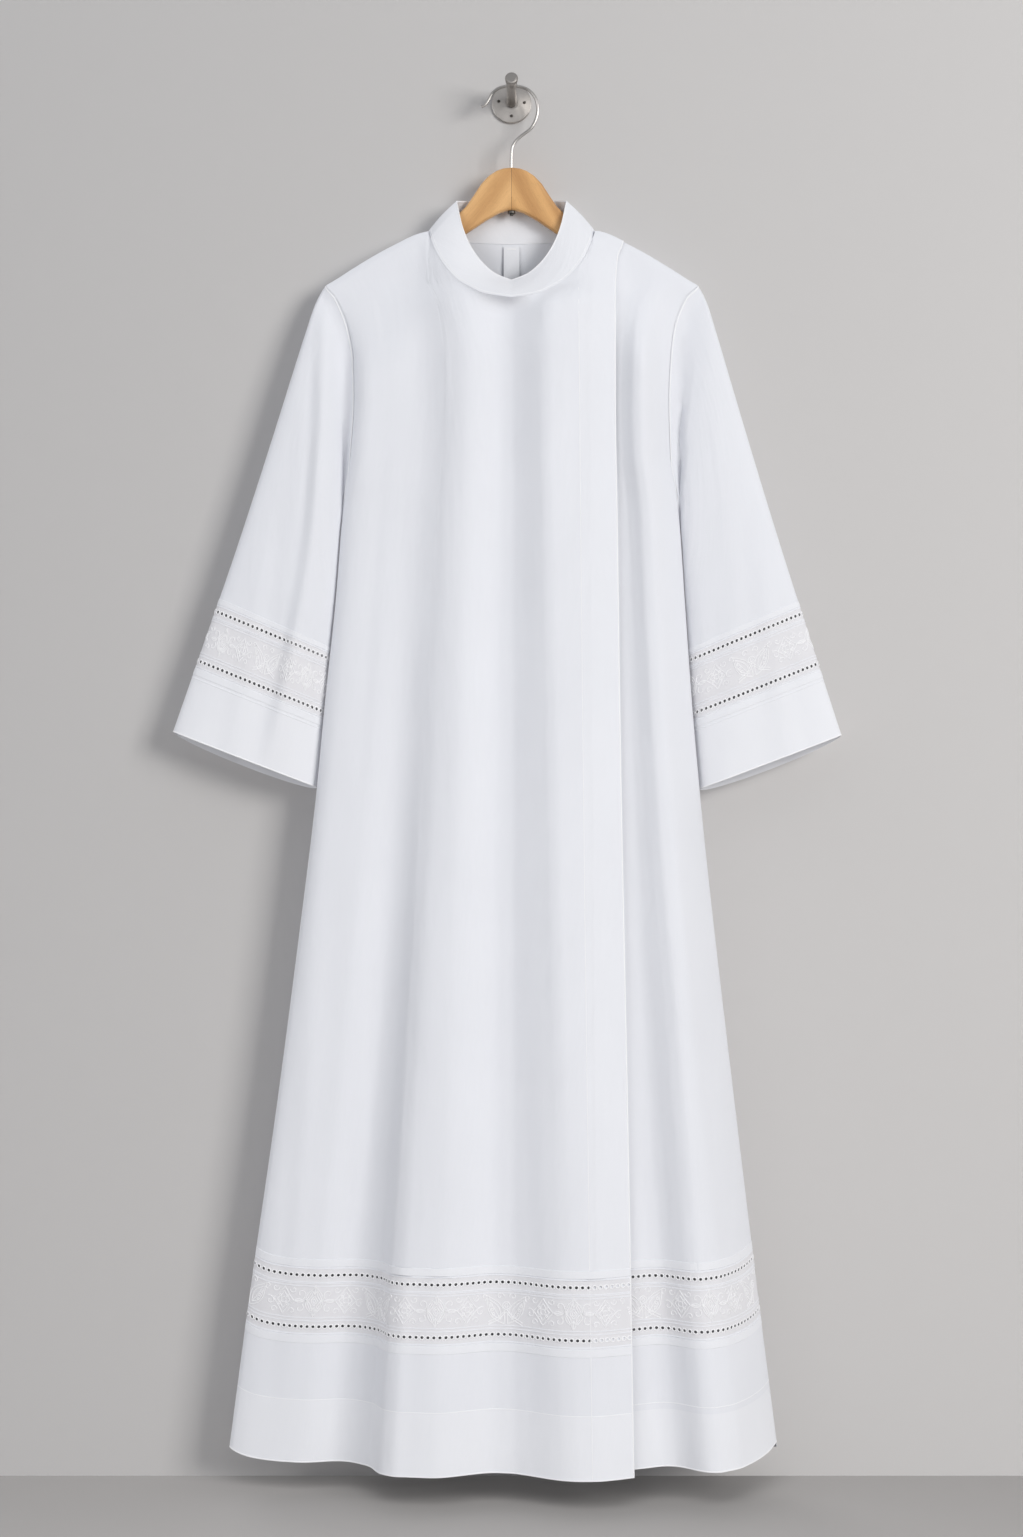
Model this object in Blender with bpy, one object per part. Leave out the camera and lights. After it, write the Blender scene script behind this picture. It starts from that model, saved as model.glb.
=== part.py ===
"""Alb on a wooden hanger that hangs from a steel wall hook.

The wall is the plane y = 0, the front faces -Y and +Z is up. The origin is the middle of
the wall hook's back face. Tables are in millimetres; everything built is in metres.
"""
import math

import bmesh
import bpy
import numpy as np
from mathutils import Matrix, Vector

MM = 0.001
NEAR = 0.5
FINE_STEPS = 801

# Cloth
WALL = 1.5
SEAM_GAP = 0.3
HEM_HEIGHT = -1592.0
HEM_RISE_AT_SIDES = 11.0
HEM_CORNER_POWER = 16
UNDER_HEM_RISE = 7.0
LACE_TOP_ABOVE_HEM = 222.0
LACE_FOOT_ABOVE_HEM = 149.0
HEM_FOLD = 72.0
CHEST_HEIGHT = -470.0
SWELL_GROWTH = 1.1
BLEND_DROP = 140.0
MIDDLE_OF_SHOULDER = -190.0

# Shoulders, armholes and neck
UNDERARM = -490.0
RIDGE_DEPTH = 29.0
NECK_HALF = 98.0
TIP_HALF = 218.5
OVERLAP_STEP = 2.1
STEP_LEAD = 2.0
STEP_RUN = 8.0
RIDGE_DROPS = (0, 2, 9, 40)
RIDGE_TURN = (0, 7, 9.8, 11)
BESIDE_NECK_POINT = 95.5
COLLAR_ROWS = (0, 0.3, 0.65, 1)
COLLAR_BULGE = 2.0

# Sleeves
SLEEVE_DEPTH = 40.0
SLEEVE_CLEARANCE = 2.6
SLEEVE_CLEARANCE_BY_ROW = 3
SLEEVE_DEPTH_BY_ROW = 4
SLEEVE_FULLNESS = 0.8
ARMHOLE_GAP = 0.5
CUFF_BACK_DROP = 9.0
CUFF_DROP_FROM_ROW = 8
CUFF_DROP_ROWS = 3
CUFF_TAPER = 0.01

# Hanger and wall hook
WOOD_THICK = 11.0
WOOD_EDGE = 4.0
WIRE_RADIUS = 1.9
STEM_CLEARANCE = 0.3
BORE_LENGTH = 90.0
BORE_MIDDLE = -110.0
BORE_SIDES = 16
JOINT_NEAR = 0.16
BEVEL_STEPS = 3
PEG_RISE = 10.0
PEG_RADIUS = 5.9
ROSE_HUB = 4.6
SCREW_RING = 15.4
SCREW_SEAT = 4.3
SCREW_ANGLES = (172, 2, 270)

# Turned pieces, from the foot up: radius, height
PEG_PROFILE = (
    (0, 0), (PEG_RADIUS, 0), (PEG_RADIUS, 48), (7.5, 59), (7.6, 62), (6.6, 63.6), (4.9, 64),
    (0, 64),
)
ROSE_PROFILE = ((0, 0), (23.7, 0), (23.7, 2), (22.7, 2.7), (7.9, ROSE_HUB), (0, ROSE_HUB))
SCREW_PROFILE = ((0, 0), (1.8, 0), (1.4, 0.7), (0, 0.9))

# Side line: height, half width on the wearer's right and left, depth of front and back edge
SIDE_COLUMNS = ("height", "right", "left", "front", "back")
SIDE = (
    (-1592, 330, 311, 60, 60),
    (-1410, 306, 288, 58, 58),
    (-1178, 273, 260, 55, 55),
    (-945, 243, 233, 52, 52),
    (-828, 229, 221, 50, 50),
    (-711, 218, 211, 47, 47),
    (-594, 206, 203, 44, 44),
    (-490, 198, 196, 41, 41),
    (-456, 193, 191, 45, 24),
    (-429, 189, 186, 46, 18),
    (-354, 184, 184, 46, 15),
    (-311, 185, 186, 44, 16),
    (-276, 191, 190, 41, 18),
    (-238, 206, 204, 36, 23),
    (-222, 218, 219, 29, 29),
    (-150, 218, 219, 29, 29),
)

# Shoulder seam: distance from the middle, height
SHOULDER_COLUMNS = ("out", "height")
SHOULDER = (
    (98, -158),
    (110, -161),
    (136, -173),
    (163, -187.5),
    (190, -204),
    (207, -215),
    (219, -222),
)

# Neck seam, front and back: distance from the middle, height, depth
NECK_COLUMNS = ("out", "height", "depth")
FRONT_NECK = (
    (0, -246, 80),
    (33, -240.5, 76),
    (57, -227, 68),
    (74, -210, 60),
    (86, -191, 51),
    (95.5, -168, 40.5),
    (98, -158, 29),
)
BACK_NECK = (
    (0, -171, 15),
    (45, -169.5, 15.5),
    (80, -165, 17),
    (95.5, -160, 20),
    (98, -158, 29),
)

# Collar's top edge: share of the way from the middle to the neck point, out, height, depth
COLLAR_COLUMNS = ("share", "out", "height", "depth")
FRONT_COLLAR = (
    (0, 0, -221, 54),
    (0.3, 19, -213, 53),
    (0.55, 34, -200, 51),
    (0.75, 47, -182, 49),
    (0.9, 58, -156, 45),
    (1, 65, -124, 34),
)
BACK_COLLAR = (
    (0, 0, -120, 15),
    (0.5, 32, -120, 16),
    (0.8, 51, -121, 20),
    (1, 65, -124, 34),
)

# How far each fold stands forward of the side seams: share of the half width, chest, hem
FOLD_COLUMNS = ("share", "chest", "hem")
UPPER_FRONT_FOLDS = (
    (-1, 12, 30),
    (-0.94, 16, 35),
    (-0.75, 24, 39),
    (-0.6, 23, 21),
    (-0.5, 24, 40),
    (-0.45, 29, 82),
    (-0.39, 34, 95),
    (-0.28, 38, 93),
    (-0.01, 35, 71),
    (0.1, 36, 79),
    (0.26, 41, 97),
    (0.46, 37, 88),
    (0.7, 34, 80),
)
UNDER_FRONT_FOLDS = (
    (0, 26, 55),
    (0.26, 31, 80),
    (0.44, 30, 74),
    (0.54, 27, 64),
    (0.62, 29, 74),
    (0.72, 33, 96),
    (0.8, 31, 95),
    (0.89, 24, 82),
    (0.95, 17, 58),
    (1, 12, 40),
)
# Distance of the back from the wall along its waves
BACK_FOLDS = (
    (-1, 12, 14),
    (-0.72, 9, 9),
    (-0.45, 11, 21),
    (-0.15, 9, 8),
    (0.15, 11, 22),
    (0.48, 9, 9),
    (0.75, 11, 20),
    (1, 12, 14),
)

# Free edge of the upper front and hidden edge of the under front
EDGE_COLUMNS = ("height", "free", "hidden")
FRONT_EDGES = (
    (-1592, 139, 40),
    (-1169, 133, 40),
    (-791, 126.5, 40),
    (-502, 123, 44),
    (-362, 121, 62),
    (-300, 121, 84),
    (-245, 121.5, 103),
    (-192, 125, 111),
    (-172, 132, 112),
    (-150, 133, 112),
)

# Sleeve: outer edge's distance and height, inner edge's height, half thickness, and how far
# the row still follows the armhole
SLEEVE_COLUMNS = ("out", "height", "inner", "half", "pull")
SLEEVE = (
    (218.5, -222, -490, 15, 1),
    (224, -231, -496, 8, 0.72),
    (231, -246, -506, 10, 0.34),
    (240, -274, -522, 13, 0.08),
    (262, -345, -548, 15, 0),
    (300, -465, -584, 16, 0),
    (329, -553, -620, 17, 0),
)
# Cuff's edge on the wearer's right and left
CUFF_COLUMNS = ("side", "out", "height", "inner")
CUFFS = (
    (-1, 397, -748, -813),
    (1, 387, -752, -815),
)
CUFF_HALF = 18.0
SLEEVE_LACE_ROWS = (157.0, 119.5, 82.0)
CUFF_ROWS = (82.0, 40.0, 0.0)

# Rows of the body: below the shoulder seam, by height, and above the hem
TOP_DROPS = (0.0, 2.0, 9.0, 32.0, 70.0)
LEVELS = (-345, -385, -420, -456, -490, -560, -650, -750, -860, -980, -1100, -1220, -1310)
ARMHOLE_ROWS = len(TOP_DROPS) + 5
LACE_ROWS = (LACE_TOP_ABOVE_HEM, 185.0, LACE_FOOT_ABOVE_HEM)
BAND_ROWS = (LACE_FOOT_ABOVE_HEM, 110.0, HEM_FOLD, 36.0, 0.0)

# Columns of the body
UPPER_FRONT_SPANS = 32
UNDER_FRONT_SPANS = 20
BACK_SPANS = 36

# Hanger half, seen from the front
WOOD_OUTLINE = (
    (0.15, -83.5), (10, -84.6), (18, -87.5), (27, -93.5), (36, -103), (45, -117),
    (54, -130), (66, -141), (96, -165), (120, -172.5), (136, -178), (163, -190.1),
    (190, -206.6), (199, -214), (203, -224), (198, -234), (188, -233), (160, -216),
    (120, -193), (86, -176), (54, -162), (30, -146), (14, -137), (6, -134.5),
    (0.15, -134.5),
)
WIRE_ROUTE = (
    (0, -140), (0, -100), (0, -66), (3.5, -54), (12, -45.5), (22.5, -37.5), (29, -26),
    (31, -13), (28, -1), (20.5, 7.8), (10.5, 12), (-1, 12.65), (-13, 11.2), (-22, 5),
    (-27, -3.5), (-31, -9.2), (-35.6, -11.4),
)
NUT_RADIUS = 4.4
NUT_HEIGHT = 2.8

# Tape inside the back
TAPE_HALF = 9.2
TAPE_TOP = -174.0
TAPE_FOOT = -218.0
TAPE_WALL = 1.0
TAPE_GAP = 0.45
TAPE_ROWS = 5


def column(table, names, wanted):
    """One named column of a table."""
    return np.array([row[names.index(wanted)] for row in table], float)


def curve(table, names, along, wanted, where):
    """Smooth value of one column at a place along another, with no overshoot."""
    xs = column(table, names, along)
    ys = column(table, names, wanted)
    step = np.diff(xs)
    slope = np.diff(ys) / step
    tangent = np.zeros(len(xs))
    same = slope[:-1] * slope[1:] > 0
    mean = 2 * slope[:-1] * slope[1:] / np.where(same, slope[:-1] + slope[1:], 1)
    tangent[1:-1] = np.where(same, mean, 0)
    tangent[0] = slope[0]
    tangent[-1] = slope[-1]
    where = np.clip(where, xs[0], xs[-1])
    spot = np.clip(np.searchsorted(xs, where) - 1, 0, len(step) - 1)
    t = (where - xs[spot]) / step[spot]
    rise = ys[spot] * (1 + 2 * t) * (1 - t) ** 2 + ys[spot + 1] * t * t * (3 - 2 * t)
    lean = tangent[spot] * t * (1 - t) ** 2 - tangent[spot + 1] * t * t * (1 - t)
    return rise + step[spot] * lean


def soft_step(value):
    """Smooth rise from 0 to 1."""
    value = np.clip(value, 0, 1)
    return value * value * (3 - 2 * value)


def half_width(share, height):
    """Distance of the side line from the middle, on the side that the share is on."""
    side = "right" if share < 0 else "left"
    return float(curve(SIDE, SIDE_COLUMNS, "height", side, height))


def roundness(share):
    """How far a round section stands out at a share of its half width."""
    return math.sqrt(max(0.0, 1 - share * share))


def fold(table, share, height):
    """How far a fold stands out, growing from the chest to the hem."""
    fall = (CHEST_HEIGHT - height) / (CHEST_HEIGHT - HEM_HEIGHT)
    growth = float(np.clip(fall, 0, 1)) ** SWELL_GROWTH
    chest = float(curve(table, FOLD_COLUMNS, "share", "chest", share))
    hem = float(curve(table, FOLD_COLUMNS, "share", "hem", share))
    return chest + (hem - chest) * growth


def upper_section(share, height):
    """Depth of the upper front."""
    edge = float(curve(SIDE, SIDE_COLUMNS, "height", "front", height))
    return edge + roundness(share) * fold(UPPER_FRONT_FOLDS, share, height)


def under_section(share, height):
    """Depth of the under front."""
    edge = float(curve(SIDE, SIDE_COLUMNS, "height", "front", height))
    return edge + roundness(share) * fold(UNDER_FRONT_FOLDS, share, height)


def back_section(share, height):
    """Depth of the back."""
    side = "back" if height > UNDERARM else "front"
    edge = float(curve(SIDE, SIDE_COLUMNS, "height", side, height))
    return edge - roundness(share) * (edge - fold(BACK_FOLDS, share, height))


def seam_top(neck, out):
    """Height and depth of the neck or shoulder seam at a distance from the middle."""
    if out < NECK_HALF:
        height = float(curve(neck, NECK_COLUMNS, "out", "height", out))
        depth = float(curve(neck, NECK_COLUMNS, "out", "depth", out))
        return height, depth
    return float(curve(SHOULDER, SHOULDER_COLUMNS, "out", "height", out)), RIDGE_DEPTH


def over_hanger(out, drop):
    """How far the cloth has turned outward as it falls over the hanger's arm."""
    if out < (NECK_HALF + BESIDE_NECK_POINT) / 2:
        return 0.0
    return float(np.interp(drop, RIDGE_DROPS, RIDGE_TURN))


def row_heights(top, hem):
    """Heights of a column's rows: over the shoulder, down the main cloth, lace, hem band."""
    main = [top - drop for drop in TOP_DROPS] + list(LEVELS)
    lace = [hem + above for above in LACE_ROWS]
    band = [hem + above for above in BAND_ROWS[1:]]
    return main + lace + band


def garment_column(share_of_row, neck, section, facing, lift, hem_rise):
    """Outer points of one column of a front (facing 1) or back (facing -1)."""
    points = []
    top_out = abs(share_of_row[0]) * TIP_HALF
    top, seam_depth = seam_top(neck, top_out)
    past_neck = share_of_row[0] * TIP_HALF - NECK_HALF
    raised = lift * float(soft_step((past_neck + STEP_LEAD) / STEP_RUN))
    corner = abs(share_of_row[-1]) ** HEM_CORNER_POWER
    hem = HEM_HEIGHT + hem_rise + HEM_RISE_AT_SIDES * corner
    for share, height in zip(share_of_row, row_heights(top, hem)):
        drop = top - height
        start = seam_depth + facing * over_hanger(top_out, drop)
        depth = start + (section(share, height) - start) * float(soft_step(drop / BLEND_DROP))
        forward = raised * min(drop / RIDGE_DROPS[1], 1.0)
        upward = raised * max(1 - drop / RIDGE_DROPS[2], 0.0)
        x = share * half_width(share, height)
        points.append((x, -depth - forward, height + upward))
    return points


def even_places(section, start, end, spans, top_start, top_end):
    """Column places from 0 to 1, even along the hem, with two close by at each neck point."""
    fine = np.sin(np.linspace(math.asin(start), math.asin(end), FINE_STEPS))
    line = np.array([(s * half_width(s, HEM_HEIGHT), section(s, HEM_HEIGHT)) for s in fine])
    length = np.concatenate([[0], np.cumsum(np.hypot(*np.diff(line, axis=0).T))])
    shares = np.interp(np.linspace(0, length[-1], spans + 1), length, fine)
    places = (shares - start) / (end - start)
    for side in (-1, 1):
        if not top_start < side * NECK_HALF / TIP_HALF < top_end:
            continue
        point, beside = [(side * out / TIP_HALF - top_start) / (top_end - top_start)
                         for out in (NECK_HALF, BESIDE_NECK_POINT)]
        places[np.argmin(abs(places - point))] = point
        places = np.sort(np.append(places, beside))
    return places


def panel_grid(places, ends_of_row, neck, section, facing, lift=0.0, hem_rise=0.0):
    """Outer points of a front or back, rows down and columns across."""
    columns = []
    for place in places:
        shares = [start + (end - start) * place for start, end in ends_of_row]
        columns.append(garment_column(shares, neck, section, facing, lift, hem_rise))
    return np.array(columns).transpose(1, 0, 2)


def unit(vectors):
    """Vectors at length 1."""
    return vectors / np.linalg.norm(vectors, axis=-1, keepdims=True)


def tangents(grid, axis, closed):
    """Direction along rows or columns at each point, midway between its two neighbours'."""
    grid = np.moveaxis(grid, axis, 0)
    if closed:
        steps = unit(np.roll(grid, -1, axis=0) - grid)
        along = steps + np.roll(steps, 1, axis=0)
    else:
        steps = unit(np.diff(grid, axis=0))
        along = np.concatenate([steps[:1], steps[1:] + steps[:-1], steps[-1:]])
    return np.moveaxis(along, 0, axis)


def surface_normals(grid, closed=False):
    """Unit normals of a grid of points, rows down and columns across."""
    return unit(np.cross(tangents(grid, 0, False), tangents(grid, 1, closed)))


def add_object(name, mesh, material, smooth_angle=40):
    """A named object, shaded smooth up to an angle, with its material."""
    mesh.shade_smooth()
    mesh.set_sharp_from_angle(angle=math.radians(smooth_angle))
    mesh.materials.append(material)
    obj = bpy.data.objects.new(name, mesh)
    bpy.context.collection.objects.link(obj)
    return obj


def closed_sheet(name, outer, inner, material, closed=False):
    """One closed solid between an outer and an inner grid of points."""
    rows, cols, _ = outer.shape
    count = rows * cols
    points = np.concatenate([outer.reshape(-1, 3), inner.reshape(-1, 3)]) * MM
    last = cols if closed else cols - 1
    faces = []
    for r in range(rows - 1):
        for c in range(last):
            a, b = r * cols + c, r * cols + (c + 1) % cols
            falling = np.linalg.norm(points[a] - points[b + cols])
            rising = np.linalg.norm(points[a + cols] - points[b])
            halves = ((a, a + cols, b), (a + cols, b + cols, b))
            if falling < rising:
                halves = ((a, a + cols, b + cols), (a, b + cols, b))
            for half in halves:
                faces.append(half)
                faces.append(tuple(count + i for i in reversed(half)))
    for c in range(last):
        a, b = c, (c + 1) % cols
        faces.append((a, b, b + count, a + count))
        a, b = a + (rows - 1) * cols, b + (rows - 1) * cols
        faces.append((b, a, a + count, b + count))
    if not closed:
        for r in range(rows - 1):
            a, b = r * cols, (r + 1) * cols
            faces.append((b, a, a + count, b + count))
            a, b = a + cols - 1, b + cols - 1
            faces.append((a, b, b + count, a + count))
    mesh = bpy.data.meshes.new(name)
    mesh.from_pydata([tuple(p) for p in points], [], faces)
    work = bmesh.new()
    work.from_mesh(mesh)
    bmesh.ops.triangulate(work, faces=work.faces)
    bmesh.ops.recalc_face_normals(work, faces=work.faces)
    work.to_mesh(mesh)
    work.free()
    return add_object(name, mesh, material)


def cut_rows(name, outer, inner, parts, materials, closed=False):
    """Solids for spans of rows, each drawn back by half a seam gap where it meets another."""
    for piece, first, last in parts:
        walls = []
        for grid in (outer, inner):
            part = grid[first:last + 1].copy()
            if first > 0:
                part[0] += unit(part[1] - part[0]) * SEAM_GAP / 2
            if last < len(grid) - 1:
                part[-1] += unit(part[-2] - part[-1]) * SEAM_GAP / 2
            walls.append(part)
        closed_sheet(f"{name}_{piece}", *walls, materials[piece], closed)


def build_panel(name, grid, facing, side_columns, materials):
    """Main cloth, lace insertion and hem band of a front or back, from its outer points."""
    normal = surface_normals(grid) * facing
    on_shoulder = abs(grid[0, :, 0]) >= NECK_HALF - NEAR
    normal[0, on_shoulder] = (0, 0, 1)
    grid[0, on_shoulder, 1] -= facing * SEAM_GAP / 2
    beside_neck = abs(abs(grid[0, :, 0]) - BESIDE_NECK_POINT) < NEAR
    normal[:len(RIDGE_DROPS) - 1, beside_neck] = (0, -facing, 0)
    for col in side_columns:
        outward = np.sign(grid[-1, col, 0])
        normal[ARMHOLE_ROWS - 1:, col] = (outward, 0, 0)
        normal[0, col] = (outward * math.sqrt(0.5), 0, math.sqrt(0.5))
        grid[1:, col, 1] -= facing * SEAM_GAP / 2
    lace = len(TOP_DROPS) + len(LEVELS)
    band = lace + len(LACE_ROWS) - 1
    parts = (("main", 0, lace), ("lace", lace, band), ("hem", band, len(grid) - 1))
    cut_rows(name, grid, grid - normal * WALL, parts, materials)
    return grid, normal


def build_body(materials):
    """Upper front, under front and back; returns each one's outer points and normals."""
    heights = row_heights(MIDDLE_OF_SHOULDER, HEM_HEIGHT)
    free, hidden = [], []
    for height in heights:
        half = half_width(1, height)
        free.append(float(curve(FRONT_EDGES, EDGE_COLUMNS, "height", "free", height)) / half)
        hidden.append(float(curve(FRONT_EDGES, EDGE_COLUMNS, "height", "hidden", height)) / half)
    upper = even_places(upper_section, -1, free[-1], UPPER_FRONT_SPANS, -1, free[0])
    under = even_places(under_section, hidden[-1], 1, UNDER_FRONT_SPANS, hidden[0], 1)
    whole = even_places(back_section, -1, 1, BACK_SPANS, -1, 1)
    upper_grid = panel_grid(upper, [(-1, end) for end in free], FRONT_NECK, upper_section, 1,
                            lift=OVERLAP_STEP)
    under_grid = panel_grid(under, [(start, 1) for start in hidden], FRONT_NECK,
                            under_section, 1, hem_rise=UNDER_HEM_RISE)
    back_grid = panel_grid(whole, [(-1, 1)] * len(heights), BACK_NECK, back_section, -1)
    return {
        "upper": build_panel("front_upper", upper_grid, 1, (0,), materials),
        "under": build_panel("front_under", under_grid, 1, (-1,), materials),
        "back": build_panel("back", back_grid, -1, (0, -1), materials),
    }


def build_collar(body, material):
    """Stand band: from the wearer's left neck point round the back and the front."""
    base, rim, lean = [], [], []
    for key, table, order in (("back", BACK_COLLAR, -1), ("upper", FRONT_COLLAR, 1)):
        grid, normal = body[key]
        inside = [c for c in range(grid.shape[1]) if abs(grid[0, c, 0]) <= NECK_HALF + NEAR]
        for col in inside[::order]:
            point = grid[0, col]
            at_neck_point = abs(point[0]) > NECK_HALF - NEAR
            if at_neck_point and point[0] < 0 and order == 1:
                continue
            share = min(abs(point[0]) / NECK_HALF, 1.0)
            top = [float(curve(table, COLLAR_COLUMNS, "share", wanted, share))
                   for wanted in ("out", "height", "depth")]
            base.append(point)
            rim.append((math.copysign(top[0], point[0]), -top[2], top[1]))
            lean.append(normal[0, col])
    base, rim, lean = np.array(base), np.array(rim), np.array(lean)
    for end, shift in ((0, SEAM_GAP / 2), (-1, -SEAM_GAP / 2)):
        base[end, 1] = -RIDGE_DEPTH + shift
        rim[end, 1] += shift
    rise = unit(rim - base)
    rows = []
    for share in COLLAR_ROWS:
        bulge = COLLAR_BULGE * math.sin(math.pi * share)
        level = (base + rise * SEAM_GAP) * (1 - share) + rim * share
        middle = level.mean(axis=0)
        away = level - middle
        away[:, 2] = 0
        rows.append(level + bulge * unit(away))
    outer = np.array(rows)
    normal = surface_normals(outer, closed=True)
    away = outer - outer.mean(axis=(0, 1))
    normal *= np.sign((normal * away).sum(axis=2).mean())
    normal[0] = lean
    normal[:, [0, -1]] = unit(normal[:, :1] + normal[:, -1:])
    closed_sheet("collar", outer, outer - normal * WALL, material)


def sleeve_rows(side):
    """Each row of a sleeve in the sleeve table's columns, down to the cuff's edge."""
    cuff = {row[0]: dict(zip(CUFF_COLUMNS, row)) for row in CUFFS}
    edge = cuff[side]
    stretch = (edge["out"] - TIP_HALF) / (cuff[-1]["out"] - TIP_HALF)
    upper = {name: column(SLEEVE, SLEEVE_COLUMNS, name) for name in SLEEVE_COLUMNS}
    upper["out"] = TIP_HALF + (upper["out"] - TIP_HALF) * stretch
    rows = list(zip(*(upper[name] for name in SLEEVE_COLUMNS)))
    slope = unit(np.array((edge["out"] - rows[-1][0], edge["height"] - rows[-1][1])))
    for above in SLEEVE_LACE_ROWS + CUFF_ROWS[1:]:
        rows.append((edge["out"] - slope[0] * above, edge["height"] - slope[1] * above,
                     edge["inner"] + above, CUFF_HALF - above * CUFF_TAPER, 0))
    return rows


def build_sleeve(name, side, body, materials):
    """Flattened tube from the armhole's own edge to the cuff."""
    front, _ = body["upper" if side < 0 else "under"]
    back, _ = body["back"]
    edge = 0 if side < 0 else -1
    down = front[:ARMHOLE_ROWS, edge].copy()
    up = back[ARMHOLE_ROWS - 2:0:-1, edge].copy()
    down[0, 1] = -RIDGE_DEPTH
    down[-1, 1] = (front[ARMHOLE_ROWS - 1, edge, 1] + back[ARMHOLE_ROWS - 1, edge, 1]) / 2
    armhole = np.concatenate([down, up])
    armhole[:, 0] = abs(armhole[:, 0]) + ARMHOLE_GAP
    spans = ARMHOLE_ROWS - 1
    turn = np.pi * np.arange(2 * spans) / spans
    across = (1 - np.cos(turn)) / 2
    rings = []
    for number, (out, height, inner, half, pull) in enumerate(sleeve_rows(side)):
        clear = SLEEVE_CLEARANCE * min(number / SLEEVE_CLEARANCE_BY_ROW, 1)
        inner_out = half_width(side, inner) + clear
        held = max(0.0, 1 - number / SLEEVE_DEPTH_BY_ROW)
        middle = SLEEVE_DEPTH - (SLEEVE_DEPTH - RIDGE_DEPTH) * held
        bulge = half * np.sign(np.sin(turn)) * abs(np.sin(turn)) ** SLEEVE_FULLNESS
        drop = CUFF_BACK_DROP * max(0, number - CUFF_DROP_FROM_ROW) / CUFF_DROP_ROWS
        low = drop * np.clip(-np.sin(turn), 0, 1)
        ring = np.stack([out + (inner_out - out) * across,
                         -middle - (SLEEVE_DEPTH - middle) * across - bulge,
                         height + (inner - height) * across - low], axis=1)
        if number == 0:
            pulled = armhole - ring
        rings.append(ring + pulled * pull)
    outer = np.array(rings)
    outer[..., 0] *= side
    normal = surface_normals(outer, closed=True)
    away = outer - outer.mean(axis=1, keepdims=True)
    normal *= np.sign((normal * away).sum(axis=2).mean())
    normal[0, :, 0] = 0
    normal[0] = unit(normal[0])
    lace = len(SLEEVE)
    cuff = lace + len(SLEEVE_LACE_ROWS) - 1
    parts = (("upper", 0, lace), ("lace", lace, cuff), ("cuff", cuff, len(outer) - 1))
    cut_rows(name, outer, outer - normal * WALL, parts, materials, closed=True)


def build_tape(material):
    """Short tape on the inside of the back, below the collar seam."""
    rows = []
    for height in np.linspace(TAPE_TOP, TAPE_FOOT, TAPE_ROWS):
        row = []
        for x in (-TAPE_HALF, 0, TAPE_HALF):
            share = x / half_width(x, height)
            top, seam_depth = seam_top(BACK_NECK, abs(share) * TIP_HALF)
            blend = float(soft_step((top - height) / BLEND_DROP))
            depth = seam_depth + (back_section(share, height) - seam_depth) * blend
            row.append((x, -depth - WALL - TAPE_GAP, height))
        rows.append(row)
    back = np.array(rows)
    front = back.copy()
    front[..., 1] -= TAPE_WALL
    closed_sheet("neck_tape", front, back, material)


def turned(name, profile, material, segments=32):
    """Solid of revolution about Z from a radius and height profile, foot first."""
    work = bmesh.new()
    rings = []
    for radius, height in profile:
        if radius == 0:
            rings.append([work.verts.new((0, 0, height * MM))])
            continue
        ring = []
        for k in range(segments):
            angle = 2 * math.pi * k / segments
            ring.append(work.verts.new((radius * MM * math.cos(angle),
                                        radius * MM * math.sin(angle), height * MM)))
        rings.append(ring)
    for low, high in zip(rings, rings[1:]):
        for k in range(segments):
            after = (k + 1) % segments
            corners = [low[k % len(low)], low[after % len(low)],
                       high[after % len(high)], high[k % len(high)]]
            work.faces.new(list(dict.fromkeys(corners)))
    bmesh.ops.recalc_face_normals(work, faces=work.faces)
    mesh = bpy.data.meshes.new(name)
    work.to_mesh(mesh)
    work.free()
    return add_object(name, mesh, material)


def build_wood(side, material):
    """Half of the hanger: its outline pressed out to the wood's thickness, edges eased."""
    name = "hanger_right" if side < 0 else "hanger_left"
    work = bmesh.new()
    outline = [work.verts.new((side * x * MM, -(RIDGE_DEPTH - WOOD_THICK / 2) * MM, z * MM))
               for x, z in WOOD_OUTLINE]
    face = work.faces.new(outline)
    grown = bmesh.ops.extrude_face_region(work, geom=[face])
    moved = [item for item in grown["geom"] if isinstance(item, bmesh.types.BMVert)]
    bmesh.ops.translate(work, verts=moved, vec=(0, -WOOD_THICK * MM, 0))
    bmesh.ops.recalc_face_normals(work, faces=work.faces)
    rims = [edge for edge in work.edges
            if abs(edge.verts[0].co.y - edge.verts[1].co.y) < JOINT_NEAR * MM
            and not all(abs(vert.co.x) < JOINT_NEAR * MM for vert in edge.verts)]
    bmesh.ops.bevel(work, geom=rims, offset=WOOD_EDGE * MM, segments=BEVEL_STEPS,
                    profile=0.5, affect="EDGES", clamp_overlap=True)
    mesh = bpy.data.meshes.new(name)
    work.to_mesh(mesh)
    work.free()
    wood = add_object(name, mesh, material, 50)
    bore = wood.modifiers.new("stem_bore", "BOOLEAN")
    bore.object = bpy.data.objects["stem_cutter"]
    bore.operation = "DIFFERENCE"


def build_stem_cutter():
    """Bore for the wire's stem, down through the joint of the two halves."""
    bpy.ops.mesh.primitive_cylinder_add(
        vertices=BORE_SIDES, radius=(WIRE_RADIUS + STEM_CLEARANCE) * MM,
        depth=BORE_LENGTH * MM, location=(0, -RIDGE_DEPTH * MM, BORE_MIDDLE * MM))
    cutter = bpy.context.object
    cutter.name = "stem_cutter"
    cutter.display_type = "WIRE"
    cutter.hide_render = True


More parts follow.
